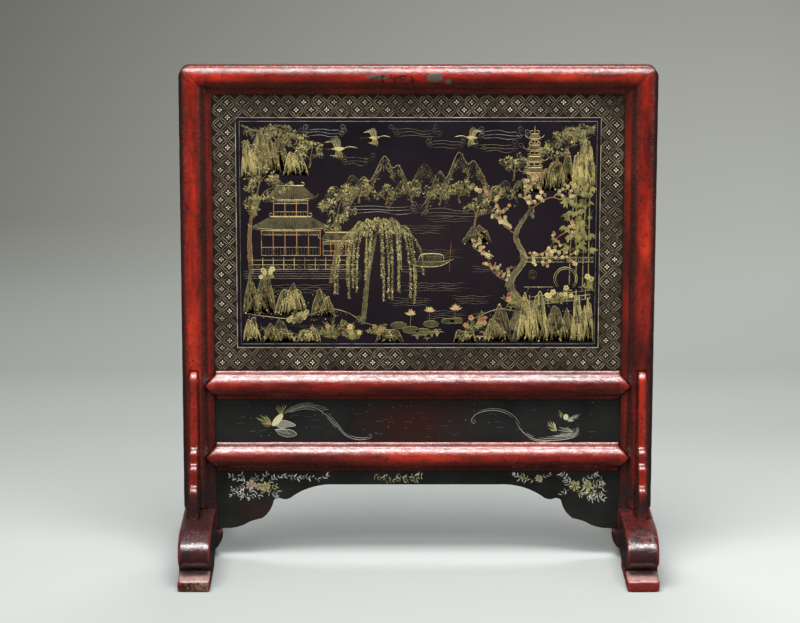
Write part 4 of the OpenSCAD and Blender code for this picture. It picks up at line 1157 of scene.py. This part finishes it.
def waist_birds():
    """Two long-tailed birds, a traditional pair, in shell and gold: their tails curl towards the middle"""
    rng = random.Random(5)
    paint = Touches(rng)
    greens, silvers = ("#86844F", "#9A9560", "#6F6D45"), ("#ABA99C", "#98968A", "#827F75")
    # The left bird: crest, body, two wings and a tail that arches over to the right
    fan(paint, (-156, 145.3), [(-172.9, 153.5), (-170.4, 151.4), (-168, 156.2), (-164.2, 155.1),
                               (-159.8, 153.5), (-168.2, 148.4), (-165.8, 146.2), (-162, 156)], 1.7, greens)
    fan(paint, (-156.3, 145.2), [(-164.7, 144.2), (-163.5, 145.6), (-161.5, 143.6)], 1.6,
        ("#A06A5A", "#8E5A4C"))
    breast, c, s = np.array([-149.4, 150.8]), math.cos(math.radians(50)), math.sin(math.radians(50))
    u, v = arc(0, 0, 8.4, 3.5, 0, 345, 22).T
    paint.patch(np.column_stack((u * c - v * s, u * s + v * c)) + breast, "#CBC394", 0.22, vary=0.02)
    for k in range(-2, 3):
        middle = breast + 1.3 * k * np.array([-s, c])
        reach = (7 - abs(k)) * np.array([c, s])
        paint.line(np.linspace(middle - reach, middle + reach, 8), 0.5, "#E0DAB4", 0.3, vary=0.1)
    for tone, tip, wing in (
            ("#86816E", (-131, 144.9), [(-152.1, 145.3), (-146.7, 150.0), (-137.9, 149.1), (-130.3, 144.7),
                                        (-139, 143.1), (-145.5, 141.4)]),
            ("#4E4B40", (-130, 135), [(-152.2, 139.9), (-144.5, 140.4), (-135.7, 139.7), (-129.2, 134.9),
                                      (-137.9, 132), (-146.7, 134.4)])):
        ring = curve(wing + wing[:1], 1.5)
        paint.patch(ring[:-1], tone, 0.1, vary=0.1)
        paint.line(ring, 0.9, silvers[0], 0.2, BLUNT)
        for k in range(1, 6):
            paint.line(curve([wing[0], (0.6 * wing[0][0] + 0.4 * tip[0], wing[5][1] + 1.4 * k),
                              (tip[0] - 1.5 * k, tip[1] + 0.5 * k - 1)], 1.6), 0.6, rng.choice(silvers),
                       0.2, vary=0.3)
    fan(paint, (-146, 156.5), [(-151, 166), (-149, 168), (-146.4, 165.5), (-143, 167.8), (-139.5, 167.5),
                               (-136.5, 164)], 1.2, greens)
    tail = [(-144, 156.5), (-133.5, 161.7), (-122.6, 164.8), (-109.5, 164.1), (-97.5, 156.2),
            (-90.9, 149.7), (-84.9, 142.2), (-79, 135.4), (-71, 130.6), (-60.3, 128.8), (-51.5, 130.4),
            (-48.8, 133.6), (-50.4, 135.4), (-52, 134), (-50.8, 132.5)]
    for offset, start, end, width in ((0, 0, 1, 0.8), (1.6, 0.5, 0.74, 0.6), (2.6, 0.02, 0.36, 0.7),
                                      (4.8, 0.04, 0.3, 0.8), (-2.6, 0.05, 0.34, 0.7), (2.2, 0.4, 0.62, 0.6),
                                      (-1.9, 0.42, 0.58, 0.6), (2.6, 0.7, 0.9, 0.8)):
        strand(paint, tail, offset, width, rng.choice(silvers), start, end)
    for k in range(16):
        x = -142 + 2.6 * k
        top = np.interp(x, [p[0] for p in tail[:6]], [p[1] for p in tail[:6]])
        paint.line(curve([(x, top), (x + 3.5, top + 2.6), (x + 8.5, top + rng.uniform(1.4, 3.0))], 1.2),
                   0.55, rng.choice(silvers + greens), 0.2, vary=0.3)
    # The right bird: head, breast and a tail that sweeps below it to the left
    paint.patch(arc(158.2, 154, 2.8, 3.3, 0, 330, 14), "#BFC298", 0.2, vary=0.02)
    paint.patch(arc(163, 150.4, 3.2, 1.5, 20, 350, 12), "#A3A58A", 0.18, vary=0.02)
    fan(paint, (161, 152), [(173.6, 157.2), (172.4, 155), (171, 152.6), (168, 149.6), (170, 157)], 0.9,
        silvers)
    fan(paint, (153, 153), [(151, 161.6), (153.6, 160), (149.6, 158), (155, 158.6)], 1.2, greens)
    fan(paint, (148.4, 139), [(138.6, 148.6), (141.2, 149.8), (144.4, 149), (138, 145.2), (139.6, 141.8),
                              (146.5, 147), (142, 139.5)], 1.9, greens + ("#A9AA84",))
    fan(paint, (166, 137.5), [(151, 142.4), (154, 140.6), (158, 143), (149.6, 139.6)], 1.0, silvers)
    sweep = [(172.6, 141), (169.7, 133.4), (158.2, 129.4), (141.8, 128.2), (128.7, 129), (118.4, 132.6),
             (110.1, 140.2), (103.5, 150.8), (95.9, 157.3), (83.9, 161.1), (70.7, 160.2), (61.5, 156.4),
             (57.5, 150.6), (59.4, 147), (62, 148.6), (60.4, 151), (58.9, 149.4)]
    for offset, start, end, width in ((0, 0, 0.55, 0.9), (0, 0.58, 1, 0.8), (-2.4, 0.0, 0.34, 0.8),
                                      (-4.4, 0.02, 0.28, 0.8), (-6.4, 0.05, 0.24, 0.7),
                                      (-8.4, 0.08, 0.2, 0.7), (-2.0, 0.36, 0.44, 0.7),
                                      (-2.4, 0.5, 0.84, 0.7), (1.6, 0.24, 0.4, 0.7)):
        strand(paint, sweep, offset, width, rng.choice(silvers), start, end)
    for k in range(12):
        x, z = 171.5 - 1.6 * k, 143.5 - 0.55 * k
        paint.line(curve([(x, z), (x - 0.6 - 0.15 * k, z - 5), (x - 5.5 - 0.3 * k, 131.8 + 0.1 * k)], 1.2),
                   0.6, rng.choice(silvers), 0.2, vary=0.3)
    # Specks and scratches all over the panel
    specks, scratches, half, low, high = 60, 34, 195, 131, 170
    for _ in range(specks):
        x, z = rng.uniform(-half, half), rng.uniform(low, high)
        paint.patch(arc(x, z, rng.uniform(0.3, 0.6), rng.uniform(0.3, 0.5), 0, 300, 6), "#77756C", 0.1,
                    vary=0.4)
    for _ in range(scratches):
        x, z = rng.uniform(-half, half), rng.uniform(low, high)
        paint.line(curve([(x, z), (x + rng.uniform(2, 7), z + rng.uniform(-1.5, 1.5)),
                          (x + rng.uniform(7, 11), z + rng.uniform(-2, 2))], 2), 0.4, "#4A4A46", 0.08,
                   vary=0.3)
    paint.piece("waist_panel_birds", PEARL, "pearl_inlay")


def apron_sprays():
    """Sprays of flowers and paired leaves in shell, at both ends of the apron and along its top"""
    rng = random.Random(9)
    stems, leaves = Touches(rng), []
    whites, golds = ("#CFCCBE", "#BDBBAE", "#A19E96"), ("#A09B68", "#ADA876", "#85825A")

    def twig(path, tones, bud):
        """A stem with paired leaves and, where it has a colour, a bud at its end"""
        line, leaf = curve(path, 1.2), 4.3
        stems.line(line, 0.45, "#6B6A60", 0.14)
        for k in range(1, len(line), 3):
            run = line[k] - line[k - 1]
            turn = math.degrees(math.atan2(run[1], run[0]))
            for side in (-1, 1):
                if rng.random() < 0.85:
                    leaves.append((line[k][0], line[k][1], turn + side * rng.uniform(25, 75),
                                   leaf * rng.uniform(0.7, 1.3), shade(rng, rng.choice(tones), 0.3)))
        if bud:
            stems.patch(arc(line[-1][0], line[-1][1], 1.7, 2.0, 0, 315, 8), bud, 0.16, vary=0.1)

    def flower(x, z, size, tones, heart):
        """A double flower seen from the front"""
        for ring, count in ((1.0, 9), (0.62, 6)):
            for k in range(count):
                a = math.radians(360 * (k + 0.5 * ring) / count + rng.uniform(-9, 9))
                c, s, r = math.cos(a), math.sin(a), size * ring * rng.uniform(0.85, 1.15)
                petal = [(0.3, 0), (0.62, 0.2), (0.88, 0.14), (1, 0), (0.88, -0.14), (0.62, -0.2)]
                stems.patch([(x + r * (c * u - s * v), z + r * (s * u + c * v)) for u, v in petal],
                            rng.choice(tones), 0.13 + 0.06 * (1 - ring))
        stems.patch(arc(x, z, 0.28 * size, 0.24 * size, 0, 300, 6), heart, 0.24, vary=0.1)

    flower(-178.7, 79.2, 6.2, ("#B39A8C", "#BFA99C", "#ADA082"), "#A8786C")
    flower(-162.6, 76.6, 6.0, golds + ("#AAA57C",), "#938E5A")
    flower(-170.5, 77.4, 4.4, ("#B39A80", "#A5A080"), "#A27F60")
    flower(169.0, 77.8, 6.4, golds, "#6E6A3C")
    flower(182.3, 77.6, 6.6, golds, "#77754A")
    flower(130.4, 86.0, 4.4, ("#A89C80", "#9C9766", "#B3A392"), "#8F8B58")
    for tones, bud, path in (
            (whites, None, [(-184, 81), (-192, 85), (-201, 88.5)]),
            (whites, None, [(-186, 83), (-188, 88), (-189, 90.5)]),
            (whites, None, [(-184, 77), (-192, 74.6), (-199.5, 75)]),
            (whites, None, [(-185, 73), (-193, 69.5), (-201, 67)]),
            (whites, "#A5A49A", [(-180, 74), (-183, 69), (-188, 65.8)]),
            (whites, "#8E8B86", [(-174, 73), (-176, 68), (-181, 63.5)]),
            (whites, None, [(-168, 72), (-168, 67), (-172, 64.4)]),
            (("#85808A", "#8E8B86"), "#8C8490", [(-160, 71), (-155, 69), (-150.5, 66)]),
            (golds, None, [(-157, 75), (-153, 77.5), (-150.5, 72)]),
            (golds, None, [(-172, 82), (-174, 86.5), (-171, 89.5)]),
            (whites, None, [(-166, 82), (-167, 86), (-162, 91)]),
            (whites, None, [(-159, 81), (-153, 86.5), (-144, 88.6), (-136, 88), (-128, 86.4)]),
            (whites, None, [(-128, 88.4), (-120, 87), (-111, 87.4), (-104, 85), (-98, 88.6)]),
            (golds + whites, None, [(-47, 89.4), (-40, 86.2), (-33, 88.2), (-26, 86)]),
            (golds, None, [(-38, 84.4), (-30, 83.2), (-20, 85)]),
            (golds + whites, None, [(-24, 89), (-14, 86.6), (-6, 88.6), (5, 88.4)]),
            (golds, None, [(-16, 83.6), (-8, 85), (1, 84.6)]),
            (whites, "#A5A49A", [(118, 84.5), (111, 85.5), (103, 91)]),
            (golds, None, [(125, 84), (117, 87), (110, 90)]),
            (whites, None, [(134, 87), (139, 90), (143, 91.6)]),
            (whites, "#8E8B86", [(165, 82), (160, 87), (154, 91)]),
            (whites, None, [(163, 78), (159, 83), (157, 85)]),
            (whites, None, [(164, 74), (158, 71), (155.5, 68)]),
            (whites, "#A8A49E", [(176, 82), (184, 87), (191.8, 90.5)]),
            (golds, None, [(187, 80), (194, 82.5), (197, 85)]),
            (whites, "#A8A49E", [(187, 74), (194, 76), (199, 80.6)]),
            (whites, None, [(188, 71), (196, 68), (200.5, 72.5)]),
            (whites, None, [(174, 72), (181, 69), (190, 64.6), (202, 63)]),
            (whites, None, [(176, 71), (182, 66), (188, 62)]),
            (golds, None, [(184, 70), (190, 69), (194, 70.6)]),
            (golds, None, [(170, 72), (173, 68.6), (176, 67)])):
        twig(path, tones, bud)
    stems.piece("apron_flowers", PEARL, "pearl_inlay")
    scattered("apron_leaves", leaves, leaf_touch(0.11), PEARL)


# Camera, backdrop and lamps; in metres

def make_camera():
    """The photograph's place: well above the screen and a hand's width to its left"""
    lens = bpy.data.cameras.new("camera")
    lens.lens, lens.sensor_width = 130.6, 36.0
    lens.shift_x, lens.shift_y = 0.019, -0.1
    camera = new_object("camera", lens)
    camera.location = (-0.035, -3.0, 0.96)
    camera.rotation_euler = (math.radians(78.6), 0, 0)
    bpy.context.scene.camera = camera


def make_stage():
    """A pale floor that sweeps up into a grey backdrop"""
    front, back, rise, radius, half = -4.5, 1.1, 3.2, 0.7, 4.0
    below_feet, sweep_steps = 0.2 * MM, 24
    profile = [(front, 0.0), (back - radius, 0.0)]
    for i in range(1, sweep_steps + 1):
        a = math.radians(90 * i / sweep_steps)
        profile.append((back - radius + radius * math.sin(a), radius - radius * math.cos(a)))
    profile.append((back, rise))
    shape = bmesh.new()
    rows = [[shape.verts.new((x, y, z - below_feet)) for x in (-half, half)] for y, z in profile]
    for a, b in zip(rows, rows[1:]):
        shape.faces.new((a[0], a[1], b[1], b[0])).smooth = True
    mesh = bpy.data.meshes.new("backdrop")
    shape.to_mesh(mesh)
    shape.free()
    mesh.materials.append(painted_backdrop())
    new_object("backdrop", mesh)


def painted_backdrop():
    """Matt grey paint on board, pale on the floor; painted shade darkens it up the wall and to the left."""
    material, t, place = new_material("painted_backdrop")
    x, y, z = add(t, "ShaderNodeSeparateXYZ", {0: place}).outputs
    rays = add(t, "ShaderNodeLightPath").outputs
    height = cover(t, (z, 0, 1.4))
    # Painted shade: the backdrop darkens up the wall
    tone = add(t, "ShaderNodeValToRGB", {"Fac": height},
               stops=[(0.0, "#ADB0AE"), (0.03, "#888B89"), (0.13, "#7F817B"), (0.35, "#6F706A"),
                      (0.8, "#4A4A44")])
    tone = lay(t, tone.outputs["Color"], [
        # Painted shade: the wall is darker to the left
        ("#3A3A35", (x, 0.5, -1.1), (height, -0.06, 0.14)),
        # Painted shade: the floor darkens away from the viewer
        ("#747775", (y, 0.05, 0.5, 0.6), (height, 0.1, 0)),
        # Mirrored in the lacquer, the floor in front is as dark as a studio behind black cards
        ("#262524", (rays["Is Glossy Ray"], 0, 1), (y, 0.5, 0.2, 1.0, 0.6))])
    paint = add(t, "ShaderNodeBsdfPrincipled", {"Base Color": tone, "Roughness": 0.9,
                                                "Specular IOR Level": 0.1})
    # Seen from behind or below it is clear, so that it hides nothing
    behind = cover(t, (add(t, "ShaderNodeNewGeometry").outputs["Backfacing"], 0, 1),
                   (rays["Is Camera Ray"], 0, 1))
    clear = add(t, "ShaderNodeBsdfTransparent")
    seen = add(t, "ShaderNodeMixShader", {0: behind, 1: paint.outputs[0], 2: clear.outputs[0]})
    add(t, "ShaderNodeOutputMaterial", {"Surface": seen.outputs[0]})
    return material


def make_lamps():
    """Soft boxes above, in front and behind, weak side fills, and a world that gloss hardly mirrors"""
    for name, place, target, size, power in (
            ("main_softbox", (-0.1, -0.66, 2.1), (0.0, 0.0, 0.1), (1.8, 0.8), 74),
            ("front_softbox", (-0.1, -1.6, 1.9), (0.0, 0.0, 0.25), (1.8, 0.35), 9),
            ("rear_softbox", (0.05, 0.7, 1.3), (0.05, 0.36, 0.0), (0.6, 0.4), 11),
            ("left_fill", (-2.2, -1.2, 0.9), (0.0, 0.0, 0.25), (0.6, 1.4), 3),
            ("right_fill", (2.2, -1.2, 0.9), (0.0, 0.0, 0.25), (0.6, 1.4), 4)):
        light = bpy.data.lights.new(name, "AREA")
        light.shape = "RECTANGLE"
        light.size, light.size_y = size
        light.energy = power
        lamp = new_object(name, light)
        lamp.location = place
        lamp.rotation_euler = (Vector(target) - lamp.location).to_track_quat("-Z", "Y").to_euler()
    world = bpy.data.worlds.new("studio")
    bpy.context.scene.world = world
    world.use_nodes = True
    t = world.node_tree
    t.nodes.clear()
    mirrored = add(t, "ShaderNodeLightPath").outputs["Is Glossy Ray"]
    sky = add(t, "ShaderNodeBackground", {"Color": "#D8DCDC",
                                          "Strength": cover(t, (mirrored, 0, 1, 0.05, 0.68))})
    add(t, "ShaderNodeOutputWorld", {"Surface": sky.outputs[0]})


# The main part

bpy.context.scene.view_settings.view_transform = "Standard"
make_camera()
make_stage()
make_lamps()

SIGHT_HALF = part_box("right_post")[0][0]
SIGHT_LOW, SIGHT_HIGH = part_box("upper_rail")[1][2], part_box("top_rail")[0][2]
BAND = (SIGHT_HALF, (SIGHT_LOW + SIGHT_HIGH) / 2, (SIGHT_HIGH - SIGHT_LOW) / 2, 23.8 * MM, "#2B2219")
RED = red_lacquer()
PANEL_BLACK = black_lacquer("black_lacquer_picture_panel", ground=("#131015", "#19141A", "#211B21"),
                            rubbed="#261C20", rubbed_at=(0, 0, 0.35), rubbed_size=(0.2, 1, 0.1), band=BAND)
WAIST_BLACK = black_lacquer("black_lacquer_waist_panel", ground=("#1A1A1A", "#222221", "#2A2827"),
                            rubbed="#351A13", rubbed_at=(0, 0, 0.15), rubbed_size=(0.075, 1, 0.06))
APRON_BLACK = black_lacquer("black_lacquer_apron", ground=("#1A1A18", "#242422", "#2C2928"),
                            rubbed="#33211E", rubbed_at=(-0.17, 0, 0.05), rubbed_size=(0.03, 1, 0.02))
GOLD = painted("gold_leaf_rubbed", roughness=0.4, worn_from=0.5, worn_to=0.64, ground="#2A251C",
               sheen=0.15)
BORDER_GOLD = painted("white_gold_leaf_rubbed", roughness=0.4, worn_from=0.46, worn_to=0.62,
                      ground="#2A2219", sheen=0.1, worn_size=5)
PEARL = painted("mother_of_pearl_inlay", roughness=0.25, worn_from=0.66, worn_to=0.78, ground="#2C2A28",
                sheen=0.0)
WOOD = bare_wood()

# The more rounds, the rounder the edges; the right foot is the most knocked about
for node, rounds, knocks, seam in (
        ("left_post", 4, 0.2, mitre(1)), ("right_post", 4, 0.2, mitre(1)), ("top_rail", 4, 0.2, mitre(-1)),
        ("upper_rail", 14, 0.2, None), ("lower_rail", 14, 0.2, None),
        ("left_foot", 40, 0.2, None), ("right_foot", 40, 0.6, None),
        ("front_left_spandrel", 20, 0.2, None), ("front_right_spandrel", 20, 0.2, None),
        ("back_left_spandrel", 20, 0.2, None), ("back_right_spandrel", 20, 0.2, None)):
    softened(node, RED, rounds, knocks, ripple_size=12, seam=seam)
softened("apron", APRON_BLACK, rounds=2, ripple=0.08, ripple_size=11)
for node, material in (("main_panel", PANEL_BLACK), ("waist_panel", WAIST_BLACK),
                       ("spandrel_tenons", WOOD), ("foot_wedges", WOOD)):
    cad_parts[node].data.materials.clear()
    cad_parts[node].data.materials.append(material)
brocade()
Picture().draw()
waist_birds()
apron_sprays()
